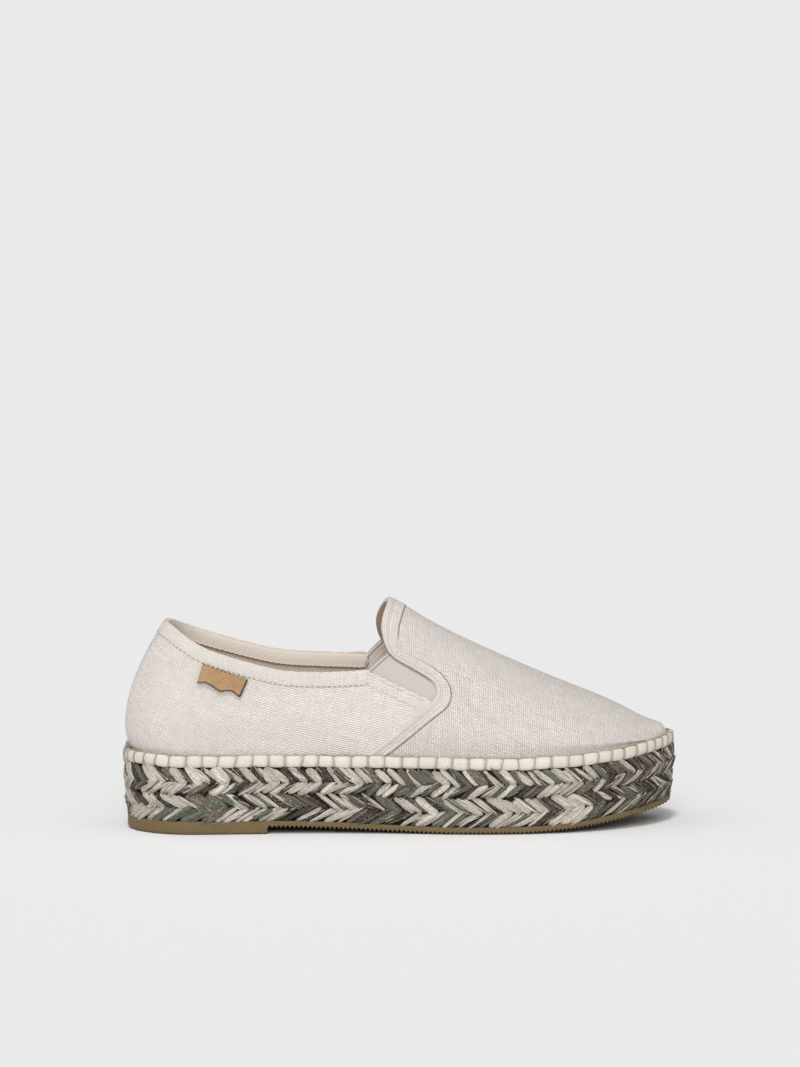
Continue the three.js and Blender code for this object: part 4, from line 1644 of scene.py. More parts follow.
    def make_collar_tape(self) -> None:
        """Builds the tape folded over the collar, and its row of stitches."""
        ends = (self.tables.walk_of(end, side) for end, side in zip(self.tape_ends, (-1, 1)))
        walk = np.linspace(*ends, 330)
        station, side = self.tables.walk_station(walk)
        top = LAST.arch_below(station, side, self.collar)
        width, thick, inner = self.tape_width, self.tape_thickness, self.wall + 0.5
        profile = ((width + 0.1, -0.3), (width, 0.12), (width - 0.35, thick * 0.8), (width * 0.55, thick),
                   (1.5, thick + 0.08), (0.75, thick - 0.1), (0.25, 0.0), (0.0, -0.7), (0.1, -1.4),
                   (0.5, -inner + 0.2), (1.4, -inner - 0.4), (width * 0.55, -inner - 1.2),
                   (width - 0.5, -inner - 1.6), (width, -self.wall - 1.0), (width + 0.1, -self.wall + 0.4))
        grid, face = self.edge_strip(station, side, top, profile)
        line = run_length(grid[:, 3])
        spare = np.clip(np.minimum(line, line[-1] - line) / 3.5, 0, 1)
        full = 0.3 + 0.7 * np.sqrt(1 - (1 - spare) ** 2)
        grid = grid[:, 7:8] + (grid - grid[:, 7:8]) * full[:, None, None]
        sides = run_length(np.array(profile))
        builder = self.folded(grid, lattice(line, np.append(sides, sides[-1] + 1)), 8)
        # The collar tape's inner face, slot 1, takes the lighter herringbone tape as painted light.
        settle(builder.build("collar_tape", [self.finishes.binding, self.finishes.tape], sharp=70), "canvas")
        # Dark threads along the collar tape's lower edges: its stitch lines, with painted shadow below them.
        self.lay("collar_seam", grid[:, 1] + face * 0.05 + self.down(grid, 2) * 0.12, 0.19, face)
        stitches = (
            stitch_spots(grid[:, 2] + face * 0.12 + self.down(grid, 2) * 0.55, face, 2.5),
            stitch_spots(grid[:, 12] - face * 0.16, -face, 2.5),
        )
        self.lay("collar_inner_seam", grid[:, 13] - face * 0.12, 0.2, face)
        self.sew("collar_stitches", joined(*stitches), 1.75, 0.5)

    @staticmethod
    def folded(grid: Array, pattern: Array, turned: int) -> Builder:
        """A folded tape whose columns from the turned one on, its hidden face, are in the second material."""
        hidden = np.concatenate([grid[:, turned:], grid[:, :1]], axis=1)
        builder = Builder().grid(grid[:, : turned + 1], pattern).grid(hidden, pattern[:, turned:], slot=1)
        return builder.cap(grid[0]).cap(grid[-1])

    @staticmethod
    def down(grid: Array, column: int) -> Array:
        """Directions across a strip towards its free edge, at one column of its grid."""
        return unit(grid[:, column - 1] - grid[:, column])

    def edge_strip(self, station: Array, side: Array, top: Array,
                   profile: Sequence[Row]) -> tuple[Array, Array]:
        """A strip that follows an edge of the sheet.

        Args:
            station: stations along the edge.
            side: -1 or 1 for each.
            top: arch of the edge at each.
            profile: (distance down from the edge, offset outwards) points.

        Returns:
            (count, points, 3) grid, and the outward directions at the edge.
        """
        reach = np.linspace(0, 0.35, 60)
        trial = top[:, None] + (side * (1 - np.abs(top)))[:, None] * reach
        lengths = run_length(LAST.form(station[:, None], trial))
        columns = []
        for distance, offset in profile:
            arch = np.array([np.interp(distance, row, arches) for row, arches in zip(lengths, trial)])
            columns.append(LAST.surface(station, arch, offset))
        return np.stack(columns, axis=1), LAST.normal(station, top)

    def sew(self, name: str, spots: Spots, length: float, thickness: float) -> None:
        """Sets stitches at their places.

        Args:
            name: piece name.
            spots: their places.
            length: of one stitch.
            thickness: of the thread.
        """
        size = (length, thickness, thickness)
        self.repeat.set(name, stitch_shape(), spots, self.finishes.thread, "canvas", size, 0.12, 3)

    def lay(self, name: str, line: Array, radius: Array | float, face: Array) -> None:
        """Lays a dark seam thread along a line on the surface; along seams and tape edges it is painted
        shadow.

        Args:
            name: piece name.
            line: (count, 3) points.
            radius: of the thread.
            face: outward directions at the points.
        """
        grid = tube(line, radius, 6, face)
        settle(Builder().pipe(grid, tube_pattern(line, 6, 1.5)).build(name, [self.finishes.seam]), "canvas")

    def vamp_line(self) -> Array:
        """Rear edge of the vamp in draped coordinates: distance from the heel, girth, width of the tape."""
        outer = self.tables.flat(self.vamp_edge, -1)
        inner = self.tables.flat(self.vamp_edge, 1)[::-1]
        top = np.array([[self.throat_top, 0.0, 7.0, 1.0]])
        line = even_line(np.concatenate([outer, top, inner]), 0.9)
        return softened(line, 6)

    def vamp_rear(self, arch: Array) -> Array:
        """Distance from the heel of the vamp's rear edge at each arch."""
        line = self.vamp_line()
        arches = self.tables.arch_of(LAST.station(line[:, 0]), line[:, 1])
        order = np.argsort(arches)
        return np.interp(arch, arches[order], line[order, 0])

    def make_vamp(self) -> None:
        """Builds the vamp canvas and its lining."""
        station = LAST.station(np.full(131, 176.0))
        full = [float(self.tables.full(station[:1], side)[0]) for side in (-1, 1)]
        arch = self.tables.arch_of(station, np.linspace(-full[0] + 1e-3, full[1] - 1e-3, 131))
        arch[0], arch[-1] = -1.0, 1.0
        rear = self.vamp_rear(arch) + 1.8
        share = np.sin(np.linspace(0, 1, 124) * np.pi / 2)
        first = rear.min() - 0.5
        at = np.maximum(first + (LAST.length - 1e-6 - first) * share[None, :], rear[:, None])
        stations = LAST.station(at)
        arches = np.broadcast_to(arch[:, None], stations.shape)
        points = LAST.form(stations, arches)
        relief = sum(crease.height(points) for crease in VAMP_CREASES)
        girth = self.tables.girth_of(stations.ravel(), arches.ravel()).reshape(stations.shape)
        sides = np.where(arch < 0, -1, 1)[:, None] + 0 * stations
        whole = [self.tables.full(stations.ravel(), side).reshape(stations.shape) for side in (-1, 1)]
        above = np.where(sides < 0, whole[0], whole[1]) - np.abs(girth)
        walks = np.where(
            sides < 0,
            -np.interp(stations, self.tables.stations, self.tables.walk[-1]),
            np.interp(stations, self.tables.stations, self.tables.walk[1]),
        )
        toe = smooth(LAST.length - at, 3, 16)
        relief = relief * smooth(above, 2, 10) * toe + self.whip.pucker(walks, above, 0.3) * toe
        over = self.vamp_lift * smooth(at - rear[:, None], 16, 3) + 0.02
        settling = 1.05 * smooth(at, 222, 250) * smooth(points[..., 2], 38.5, 43)
        sunk = 1.1 * smooth(at, 236, 252) * smooth(points[..., 2], 39, 48) + settling
        settled = np.stack([1.3 * smooth(at, 244, 260), 0 * at, -sunk], axis=-1)
        outside = LAST.surface(stations, arches, relief + over) + settled
        inside = LAST.surface(stations, arches, relief * 0.6 - self.canvas + over) + settled
        pattern = np.stack([at, girth], axis=-1)
        behind = LAST.surface(stations, arches, relief * 0.6 - self.canvas - 0.02) + settled
        innermost = LAST.surface(stations, arches, relief * 0.6 - self.wall) + settled
        self.lined("vamp", (outside, inside, behind, innermost), pattern, self.finishes.vamp)

    def across(self, line: Array) -> Array:
        """Directions across the vamp's rear edge, towards the toe, in draped coordinates."""
        ahead = np.gradient(line[:, :2], axis=0)
        side = unit(np.stack([ahead[:, 1], -ahead[:, 0]], axis=1))
        return unit(softened(side, 60))

    def make_vamp_tape(self) -> None:
        """Builds the tape round the vamp's rear edge, its stitches, a dark thread in the seam beside it as
        painted shadow, and dark threads as painted shadow under its edge over the gores.
        """
        line = self.vamp_line()
        across = self.across(line)
        width, deep = line[:, 2:3], line[:, 3]
        shares = ((1, 0.35, -0.2), (1, 0.1, 0.15), (1, -0.1, 0.72), (1, -0.5, 0.98), (1, -0.95, 0.98),
                  (1, -1.45, 0.86), (0.62, 0, 0.86), (0.42, 0, 0.84), (0.35, 0, 0.7), (0.28, 0, 0.86),
                  (0.16, 0, 0.92), (0, 0.5, 0.92), (0, 0.15, 0.72), (0, -0.08, 0.2), (0, -0.15, -0.8),
                  (0, -0.05, -1.8), (0, 0.3, -2.3), (0.3, 0, -2.4), (0.9, 0, -2.35), (1, 0, -1.9))
        columns = []
        for share, extra, offset in shares:
            flat = line[:, :2] + across * (width * share + extra)
            plain = 0.34 if share > 0.3 else 0.7
            faded = offset if offset < 0.2 or share == 0 else plain + (offset - plain) * deep
            columns.append(self.tables.drape(flat, faded))
        grid = np.stack(columns, axis=1)
        along = run_length(grid[:, 7])
        round_it = run_length(grid[len(grid) // 4])
        builder = self.folded(grid, lattice(along, np.append(round_it, round_it[-1] + 1)), 15)
        # Slot 1, the tape's turned-in face inside the throat, takes the darker throat tape as painted shade.
        dress = [self.finishes.vamp_tape, self.finishes.throat_tape_shaded]
        settle(builder.build("vamp_tape", dress, sharp=60), "canvas")
        above = self.tables.drape(line[:, :2] + across * width * 0.35, 1.5)
        face = unit(above - grid[:, 8])
        self.sew("vamp_stitches", stitch_spots(grid[:, 8] + face * 0.16, face, 2.4), 1.8, 0.5)
        # Painted shadow: a dark thread in the seam stands for the shadow beside the tape's raised edge.
        sunk = self.vamp_lift - 0.35 + 0.42 * deep
        seam = self.tables.drape(line[:, :2] + across * (width + 0.22), sunk)
        self.lay("vamp_seam", seam, 0.06 + 0.12 * deep, face)
        # Painted shadow: dark threads under the tape's edge where it stands over the elastic.
        for side, name in ((-1, "outer"), (1, "inner")):
            window = (np.sign(line[:, 1]) == side) & (line[:, 0] < 144.5) & (deep < 0.5)
            flat = line[window, :2] - across[window] * 0.1
            self.lay(f"gore_{name}_shadow_thread", self.tables.drape(flat, -0.25), 0.24, face[window])

    def make_hem_stitches(self) -> None:
        """Sews the quarter's two rows below each gore."""
        rows = []
        for side in (-1, 1):
            edge = softened(even_line(self.tables.flat(self.gore_low, side), 0.8), 4)
            ahead = np.gradient(edge[:, :2], axis=0)
            down = unit(np.stack([-ahead[:, 1], ahead[:, 0]], axis=1) * side)
            down = np.where((down[:, 1:] * side) < 0, -down, down)
            for distance in (1.6, 6.4):
                flat = edge[:, :2] + down * distance
                low = self.tables.drape(flat, 0.42)
                high = self.tables.drape(flat, 1.4)
                rows.append(stitch_spots(low, unit(high - low), 2.4))
        self.sew("hem_stitches", joined(*rows), 1.7, 0.48)

    def make_gores(self) -> None:
        """Builds the elastic in the window on each side, with a rolled free edge."""
        for side, name in ((-1, "outer"), (1, "inner")):
            lines = (softened(even_line(self.tables.flat(edge, side), 0.7), 8)[:, :2]
                     for edge in (self.gore_low, self.gore_high))
            low, high = (between(np.linspace(0, 1, 46), np.linspace(0, 1, len(line)), line) for line in lines)
            across = np.linspace(-0.34, 1.3, 30)
            flat = low[:, None] + (high - low)[:, None] * across[None, :, None]
            reach = (flat[-1:] - flat[-2:-1]) * np.arange(1, 5)[:, None, None]
            flat = np.concatenate([flat, flat[-1:] + reach])
            length = np.linalg.norm(flat[:, 12] - flat[0, 12], axis=-1)
            ribs = 0.26 * np.cos(length * 2 * np.pi / 1.35) * smooth(length, 4.4, 2.4)
            roll = -0.35 * smooth(length, 0.7, 0.0)
            outside = self.tables.drape(flat, (-self.gore_depth + ribs + roll)[:, None])
            thick = self.gore_depth + self.gore_thickness
            inside = self.tables.drape(flat, (-thick - roll - ribs)[:, None])
            width = np.linalg.norm(high - low, axis=1).mean() * across
            sheet = Builder().shell(outside, inside, lattice(length, width), inner=1)
            # The inner face, slot 1, takes the lighter backing as painted light.
            made = sheet.build(f"gore_{name}_elastic", [self.finishes.elastic, self.finishes.backing])
            settle(made, "elastic", f"gore_{name}")
            face = unit(outside[2] - inside[2])
            for face_grid, place in ((outside, "outer"), (inside, "inner")):
                self.lay(f"gore_{name}_{place}_thread", face_grid[2], 0.17, face)

    def make_tab(self) -> None:
        """Builds the bare leather tab, its lower edge a soft wave that stands off the canvas."""
        corners, (wide, high) = np.array(self.tab_corners), self.tab_size
        across = np.unique(np.concatenate([np.linspace(0, 1, 41), [0.012, 0.988]]))
        down = np.unique(np.concatenate([np.linspace(0, 1, 13), [0.03, 0.07, 0.93, 0.97]]))
        top = corners[0] + (corners[1] - corners[0]) * across[:, None]
        low = corners[3] + (corners[2] - corners[3]) * across[:, None]
        low[:, 1] += np.interp(across, *np.array(self.tab_wave).T)
        flat = top[:, None] + (low - top)[:, None] * down[None, :, None]
        spots = np.concatenate([flat.reshape(-1, 2), np.zeros((flat.shape[0] * flat.shape[1], 1))], axis=1)
        station, arch = LAST.locate(spots, -1)
        shape = flat.shape[:2]
        wave = 0.25 * np.sin(across * np.pi * 1.3) ** 2
        lift = 0.25 + 0.55 * down[None, :] ** 2 + wave[:, None] * down[None, :]
        outside = LAST.surface(station, arch, (lift + 1.0).ravel()).reshape(*shape, 3)
        inside = LAST.surface(station, arch, lift.ravel()).reshape(*shape, 3)
        dashes = 0.45 + 0.4 * np.sin(across * 2 * np.pi * 10.5)[:, None]
        right, below = across[:, None] * wide, down[None, :] * high
        edges = (0.3 - right, 0.95 - (wide - right), 0.8 - (high - below), dashes - below)
        mark = np.clip(np.maximum.reduce([edge + np.zeros(shape) for edge in edges]) / 0.5, 0, 1)
        sheet = Builder().shell(outside, inside, lattice(across * wide, down * high), mark=mark)
        made = sheet.build("heel_tab_leather", [self.finishes.leather])
        settle(made, "leather", "heel_tab")

    def make(self) -> None:
        """Builds the whole upper."""
        self.make_quarter()
        self.make_collar_tape()
        self.make_vamp()
        self.make_vamp_tape()
        self.make_hem_stitches()
        self.make_gores()
        self.make_tab()


# ---- The sole ----


@dataclass
class Piping:
    """Covered cord along the feather edge, with whip stitches over it and a thread along its top."""

    whip: Stitchwork
    finishes: Wardrobe
    repeat: Repeater
    half_out: float = 1.5
    half_up: float = 2.7
    nip: float = 0.3
    nip_width: float = 0.9

    def path(self, step: float = 0.62) -> tuple[Array, Array, Array]:
        """Centre line of the cord, the outward directions along it and the distances along it."""
        along = np.linspace(0, self.whip.total, int(self.whip.total / step), endpoint=False)
        closed = np.concatenate([self.whip.plan, self.whip.plan[:1]])
        lengths = np.append(self.whip.along, self.whip.total)
        plan = between(along, lengths, closed)
        for _ in range(6):
            plan = (np.roll(plan, 1, axis=0) + 2 * plan + np.roll(plan, -1, axis=0)) / 4
        ahead = unit(np.roll(plan, -1, axis=0) - np.roll(plan, 1, axis=0))
        out = np.stack([-ahead[:, 1], ahead[:, 0], np.zeros(len(ahead))], axis=1)
        middle = plan.mean(axis=0)
        if ((plan - middle) * out[:, :2]).sum() < 0:
            out = -out
        height = LAST.topline(plan[:, 0]) + LAST.gap + self.half_up
        return np.column_stack([plan, height]), out, along

    def make_cord(self) -> None:
        """Builds the cord, nipped in at every stitch."""
        centre, out, along = self.path()
        gap = np.abs(along[:, None] - self.whip.places)
        gap = np.minimum(gap, self.whip.total - gap)
        near = gap.argmin(axis=1)
        nip = np.exp(-((gap.min(axis=1) / self.nip_width) ** 2)) * self.whip.pull[near].clip(0.8, 1.2)
        before = np.clip(np.searchsorted(self.whip.places, along) - 1, 0, len(self.whip.places) - 2)
        share = (along - self.whip.places[before]) / (self.whip.places[before + 1] - self.whip.places[before])
        rng = np.random.default_rng(12)
        puff = rng.uniform(0.0, 0.1, len(self.whip.places))[before] * np.sin(np.pi * np.clip(share, 0, 1))
        swell = 0.03 * np.cos(along / 2.7) + 0.04 * np.cos(along / 7.1 + 1.0) + puff
        section = ring_section(self.half_out, self.half_up, 16, 2.25)
        scale_out = 1 + swell - 0.55 * self.nip * 2 * nip
        scale_up = 1 + 0.5 * swell - 0.42 * self.nip * nip
        wander = 0.16 * np.sin(along / 11.0) + 0.14 * np.sin(along / 4.3 + 2.0)
        grid = (
            centre[:, None]
            + out[:, None] * (section[None, :, :1] * scale_out[:, None, None])
            + np.array([0, 0, 1.0]) * (section[None, :, 1:] * scale_up[:, None, None] + wander[:, None, None])
        )
        # Painted shade in the nips at the stitches, plus a random tone for each block.
        shade = nip * 0.5 + rng.uniform(0.0, 0.2, len(self.whip.places))[before]
        mark = np.broadcast_to(shade[:, None], grid.shape[:2])
        pattern = tube_pattern(centre, 16, 14.0, closed=True)
        builder = Builder().grid(grid, pattern, around=True, along=True, mark=mark)
        settle(builder.build("piping_cord", [self.finishes.cord], sharp=80), "cord", "piping")

    def make_stitches(self) -> None:
        """Loops thread over the cord at every stitch, with a short tail down onto the braid."""
        half = np.array([
            (1.9, -2.0), (2.75, -1.2), (3.0, 0.0), (2.6, 1.25), (1.6, 1.62), (0.0, 1.66), (-1.6, 1.62),
            (-2.5, 1.2), (-3.0, 0.75), (-3.9, 1.0), (-4.7, 0.7), (-5.2, -0.3),
        ])
        nipped = np.column_stack([half[:, 0], np.linspace(-0.55, 0.5, len(half)), half[:, 1] * 0.9])
        radius = 0.85 * np.array([0.28, 0.32, 0.32, 0.3, 0.28, 0.27, 0.28, 0.3, 0.28, 0.24, 0.2, 0.12])
        loop = template("whip_shape", tube(nipped, radius, 6, SIDEWAYS))
        centre, out, along = self.path()
        places = self.whip.places
        spot, face = between(places, along, centre), unit(between(places, along, out))
        rng = np.random.default_rng(5)
        side = np.cross([0.0, 0.0, 1.0], face)
        aim = np.array([0, 0, 1.0]) + side * rng.normal(0.06, 0.15, (len(places), 1))
        size = np.ones((len(places), 3))
        size[:, 0] = rng.uniform(0.95, 1.05, len(places))
        spots = Spots(spot, unit(aim), face, size, rng.uniform(0, 1, len(places)))
        self.repeat.set("whip_stitches", loop, spots, self.finishes.whip, "cord", uneven=0.03, seed=2)

    def make_edge_thread(self) -> None:
        """Lays the thread that runs along the top of the cord from stitch to stitch."""
        centre, out, along = self.path(0.9)
        places = self.whip.places
        before = np.clip(np.searchsorted(places, along) - 1, 0, len(places) - 2)
        share = np.clip((along - places[before]) / (places[before + 1] - places[before]), 0, 1)
        sag = np.sin(np.pi * share)
        rng = np.random.default_rng(8)
        slack = rng.uniform(0.2, 1.0, len(places))[before]
        lift = self.half_up - 0.25 + 0.75 * sag * slack + 0.12 * np.sin(along * 1.9)
        inward = -0.75 + 0.5 * sag * (slack - 0.5)
        line = centre + out * inward[:, None]
        line[:, 2] += lift
        grid = tube(line, 0.38, 6, out)
        pattern = tube_pattern(line, 6, 2.2, closed=True)
        builder = Builder().grid(grid, pattern, around=True, along=True)
        settle(builder.build("edge_thread", [self.finishes.blanket]), "cord")

    def make(self) -> None:
        """Builds the piping and its threads."""
        self.make_cord()
        self.make_stitches()
        self.make_edge_thread()


@dataclass
class Braid:
    """Two flat braids wrapped round the platform, one above the other, over a core painted dark as the shade
    between the strands.
    """

    whip: Stitchwork
    finishes: Wardrobe
    repeat: Repeater
    fuzz: Fuzz
    pitch: float = 2.8
    thickness: float = 1.9
    slants: tuple[float, ...] = (46.0, 37.0, 38.0, 33.0)
    rows: tuple[Row, ...] = ((1.0, 0.735), (0.735, 0.52), (0.5, 0.255), (0.255, -0.01))
    sides: tuple[Row, ...] = (
        (0, 2.2), (0.08, 1.8), (0.27, 1.0), (0.47, 1.1), (0.53, 1.0), (0.75, 0.1), (0.93, 0.2), (1, 1.0)
    )
    core_inset: float = 1.5
    filaments: int = 3

    def spot(self, along: Array, share: Array, inset: Array | float) -> Array:
        """Points on the platform's side.

        Args:
            along: distances round it.
            share: height, as a share from its lower to its upper edge.
            inset: extra distance inwards.

        Returns:
            (count, 3) points.
        """
        along = np.mod(along, self.whip.total)
        station = np.interp(along, self.whip.along, self.whip.stations)
        side = np.where(along < self.whip.along[1499], -1, 1)
        table = np.array(self.sides)
        depth = np.interp(share, table[:, 0], table[:, 1]) + inset
        plan = LAST.outline(station, side, depth)
        low = LAST.outsole_top(plan[..., 0]) + LAST.gap
        high = LAST.topline(plan[..., 0])
        return np.concatenate([plan, (low + (high - low) * share)[..., None]], axis=-1)

    def make_core(self) -> Piece:
        """Builds the core that shows between the strands, painted dark as their shade, closed above and
        below.
        """
        along = np.linspace(0, self.whip.total, 520, endpoint=False)
        share = np.array([0.0, 0.02, 0.12, 0.25, 0.38, 0.5, 0.62, 0.75, 0.88, 0.97, 1.0])
        inset = np.array([2.0, 1.0, 0.8, 0.8, 0.8, 1.2, 0.8, 0.8, 0.8, 1.0, 1.8]) + self.core_inset - 0.8
        grid = self.spot(along[:, None], np.broadcast_to(share, (520, 11)), inset)
        pattern = lattice(np.append(along, self.whip.total), share * 26)
        builder = Builder().grid(grid, pattern, along=True)
        for edge in (grid[:, 0], grid[:, -1]):
            inner = edge.copy()
            inner[:, 1] = LAST.spine(edge[:, 0])
            flat = np.stack([edge[:, :2], inner[:, :2]], axis=1)
            flat = np.concatenate([flat, flat[:1]])
            builder.grid(np.stack([edge, inner], axis=1), flat, along=True)
        return builder.build("platform_core", [self.finishes.core])

    def strand_shape(self) -> Piece:
        """One leg of a strand: a flattened bundle that tucks in at both ends."""
        along = np.array([-0.5, -0.4, -0.22, 0.0, 0.22, 0.4, 0.5])
        width = np.array([0.34, 0.78, 1.0, 1.04, 1.0, 0.84, 0.4])
        depth = np.array([0.45, 0.85, 1.0, 1.0, 1.0, 0.8, 0.4])
        drop = np.array([-0.5, -0.16, 0.0, 0.05, 0.0, -0.08, -0.35])
        bend = 0.05 * np.array([-1.0, -0.3, 0.2, 0.0, -0.2, 0.3, 1.0])
        turn = np.linspace(0, 2 * np.pi, 10, endpoint=False)
        lobes = 1 + 0.06 * np.cos(3 * turn[None, :] + np.linspace(0, 1.4, 7)[:, None])
        section = ring_section(0.5, 0.5, 10, 3.6)
        grid = np.stack([
            np.broadcast_to(along[:, None], (7, 10)),
            section[None, :, 0] * width[:, None] * lobes + bend[:, None],
            section[None, :, 1] * depth[:, None] * lobes + drop[:, None],
        ], axis=-1)
        made = template("strand_shape", grid)
        layer = made.data.uv_layers["cloth"].data
        values = np.zeros(len(layer) * 2, np.float32)
        layer.foreach_get("uv", values)
        values = values.reshape(-1, 2) * np.array([10.0, 3.4], np.float32)
        layer.foreach_set("uv", values.ravel())
        return made

    def legs(self, row: int, seed: int) -> Spots:
        """Places of the legs of one half-row.

        Args:
            row: 0 at the top to 3 at the bottom.
            seed: for the row pair, so that both legs of a strand share its dye.

        Returns:
            Their places.
        """
        rng = np.random.default_rng(seed)
        count = int(self.whip.total / self.pitch)
        width = rng.choice([0.5, 0.72, 0.95, 1.2, 1.45], count, p=[0.25, 0.25, 0.22, 0.18, 0.1])
        rough = np.arange(count) / count * self.whip.total
        near_toe = smooth(LAST.at(np.interp(rough, self.whip.along, self.whip.stations)), 190, 225)
        width = width * (1 - 0.55 * near_toe)
        edges = np.append(0, np.cumsum(width)) * self.whip.total / width.sum()
        tip = (edges[:-1] + edges[1:]) / 2
        gauge = np.diff(edges)
        tone = rng.uniform(0, 1, count) ** (1 - 0.5 * near_toe)
        wobble = np.random.default_rng(seed * 10 + row)
        crossed = wobble.uniform(0, 1, count) < 0.42
        tone = np.where(crossed, wobble.uniform(0, 1, count) ** (1 - 0.5 * near_toe), tone)
        high, low = self.rows[row]
        high = high + wobble.normal(0, 0.022, count)
        low = low + wobble.normal(0, 0.022, count)
        tip_share, end_share = (low, high) if row % 2 == 0 else (high, low)
        height = abs(self.rows[row][0] - self.rows[row][1]) * 25.0
        back = height / math.tan(math.radians(self.slants[row])) * wobble.uniform(0.78, 1.26, count)
        reach = 0.14
        front = self.spot(tip + back * reach, tip_share + (tip_share - end_share) * reach * 0.5, 0.0)
        rear = self.spot(tip - back * (1 + reach), end_share - (tip_share - end_share) * reach * 0.5, 0.0)
        middle = self.spot(tip - back / 2, (tip_share + end_share) / 2, 0.0)
        ahead = self.spot(tip - back / 2 + 0.5, (tip_share + end_share) / 2, 0.0) - middle
        face = unit(np.cross([0, 0, 1.0], ahead))
        flip = np.sign((face * (middle - [131.0, 2.0, 0.0])).sum(axis=1))
        face = face * flip[:, None]
        centre = (front + rear + 2 * middle) / 4 - face * (self.thickness * 0.5 - 0.15)
        centre = centre + face * wobble.normal(0, 0.24, (count, 1))
        length = np.linalg.norm(front - rear, axis=1)
        across = gauge * math.sin(math.radians(self.slants[row])) * wobble.uniform(0.95, 1.55, count)
        thick = self.thickness * wobble.uniform(0.88, 1.12, count)
        tones = np.clip(tone + wobble.normal(0, 0.004, count), 0, 1)
        return Spots(centre, unit(front - rear), face, np.column_stack([length, across, thick]), tones)

    def filament_shape(self) -> Piece:
        """One loose filament that dives in at both ends."""
        along = np.array([-0.5, -0.3, 0.0, 0.3, 0.5])
        width = np.array([0.15, 0.42, 0.5, 0.42, 0.15])
        path = np.stack([along, 0.3 * np.array([-1.0, 0.5, 0.0, -0.5, 1.0]), 0.5 - 9.0 * along**4], axis=1)
        return template("filament_shape", tube(path, width, 5, UP))

    def make_filaments(self, legs: Spots) -> None:
        """Lays a few loose filaments over each leg, some pale and some dark, so that none looks smooth.

        Args:
            legs: the places of the legs.
        """
        rng = np.random.default_rng(5)
        picked = np.repeat(np.arange(len(legs.points)), self.filaments)
        count = len(picked)
        aim, face, size = legs.aim[picked], legs.face[picked], legs.size[picked]
        across = np.cross(face, aim)
        shift = rng.uniform(-0.4, 0.4, (count, 2)) * [0.55, 1.0]
        points = legs.points[picked] + aim * (shift[:, :1] * size[:, :1])
        points = points + across * (shift[:, 1:] * size[:, 1:2]) + face * (size[:, 2:] * 0.5 - 0.24)
        aim = unit(aim + across * rng.normal(0, 0.09, (count, 1)))
        girth = rng.uniform(0.22, 0.5, count)
        sizes = np.column_stack([size[:, 0] * rng.uniform(0.25, 0.6, count), girth, girth])
        own = rng.uniform(0, 1, count) < 0.62
        spots = Spots(points, aim, face, sizes, np.where(own, legs.tone[picked], rng.uniform(0, 1, count)))
        self.repeat.set("braid_filaments", self.filament_shape(), spots, self.finishes.jute, "jute", seed=6)

    def make_strands(self) -> None:
        """Builds both braids, each from its two half-rows of legs."""
        laid = []
        for name, rows, seed in (("upper_braid", (0, 1), 21), ("lower_braid", (2, 3), 34)):
            spots = joined(*(self.legs(row, seed) for row in rows))
            laid.append(spots)
            made = self.repeat.set(name, self.strand_shape(), spots, self.finishes.jute, "jute",
                                   uneven=0.05, seed=seed)
            if name == "upper_braid":
                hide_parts("jute_platform")
        self.make_filaments(joined(*laid))

    def make_fuzz(self, base: Piece) -> None:
        """Scatters loose fibres over the braids.

        Args:
            base: the core, whose copy carries them while they are made.
        """
        copy = bpy.data.objects.new("fuzz_base", base.data.copy())
        shape = bmesh.new()
        shape.from_mesh(copy.data)
        flat = [face for face in shape.faces if abs(face.normal.z) > 0.5]
        bmesh.ops.delete(shape, geom=flat, context="FACES")
        shape.to_mesh(copy.data)
        shape.free()
        bpy.context.scene.collection.objects.link(copy)
        bend = np.array([(0, 0, 1.0), (0.3, 0.1, 2.4), (0.9, 0.2, 3.5), (1.9, 0.1, 4.1)])
        girth = np.array([0.07, 0.06, 0.05, 0.02])
        hair = template("hair_shape", tube(bend, girth, 3, SIDEWAYS))
        settle(self.fuzz.run(copy, "braid_fuzz", {
            "Shape": hair, "Density": 90000.0, "Shortest": 0.45, "Longest": 0.95, "Seed": 4,
            "Material": self.finishes.jute,
        }), "jute")

    def make_tuft(self) -> None:
        """Turns the braids' ends up over the piping at the back of the heel."""
        rng = np.random.default_rng(17)
        builder = Builder()
        for _ in range(46):
            across = rng.uniform(-5.0, 4.0)
            lean = rng.uniform(-3.4, 3.4)
            top = rng.uniform(36.8, 41.5)
            heights = np.array([29.0, 31.5, 34.0, 36.0, top])
            x = np.array([2.0, 0.6, 0.1, 0.3, rng.uniform(0.6, 3.2)]) + rng.normal(0, 0.25, 5)
            y = across + lean * np.linspace(0, 1, 5) ** 1.5 + rng.normal(0, 0.35, 5)
            x = x + y**2 / 60
            path = even_line(np.stack([heights, x, y], axis=1), 1.6)
            path = np.stack([path[:, 1], path[:, 2], path[:, 0]], axis=1)
            radius = rng.uniform(0.14, 0.34) * np.linspace(1.0, 0.4, len(path))
            builder.pipe(tube(path, radius, 5, np.array([0.0, 1.0, 0.2])), tube_pattern(path, 5, 2.5))
        settle(builder.build("heel_tuft", [self.finishes.tuft]), "jute")

    def make(self) -> None:
        """Builds the platform."""
        core = self.make_core()
        self.make_strands()
        self.make_fuzz(core)
        settle(core, "jute")
        self.make_tuft()


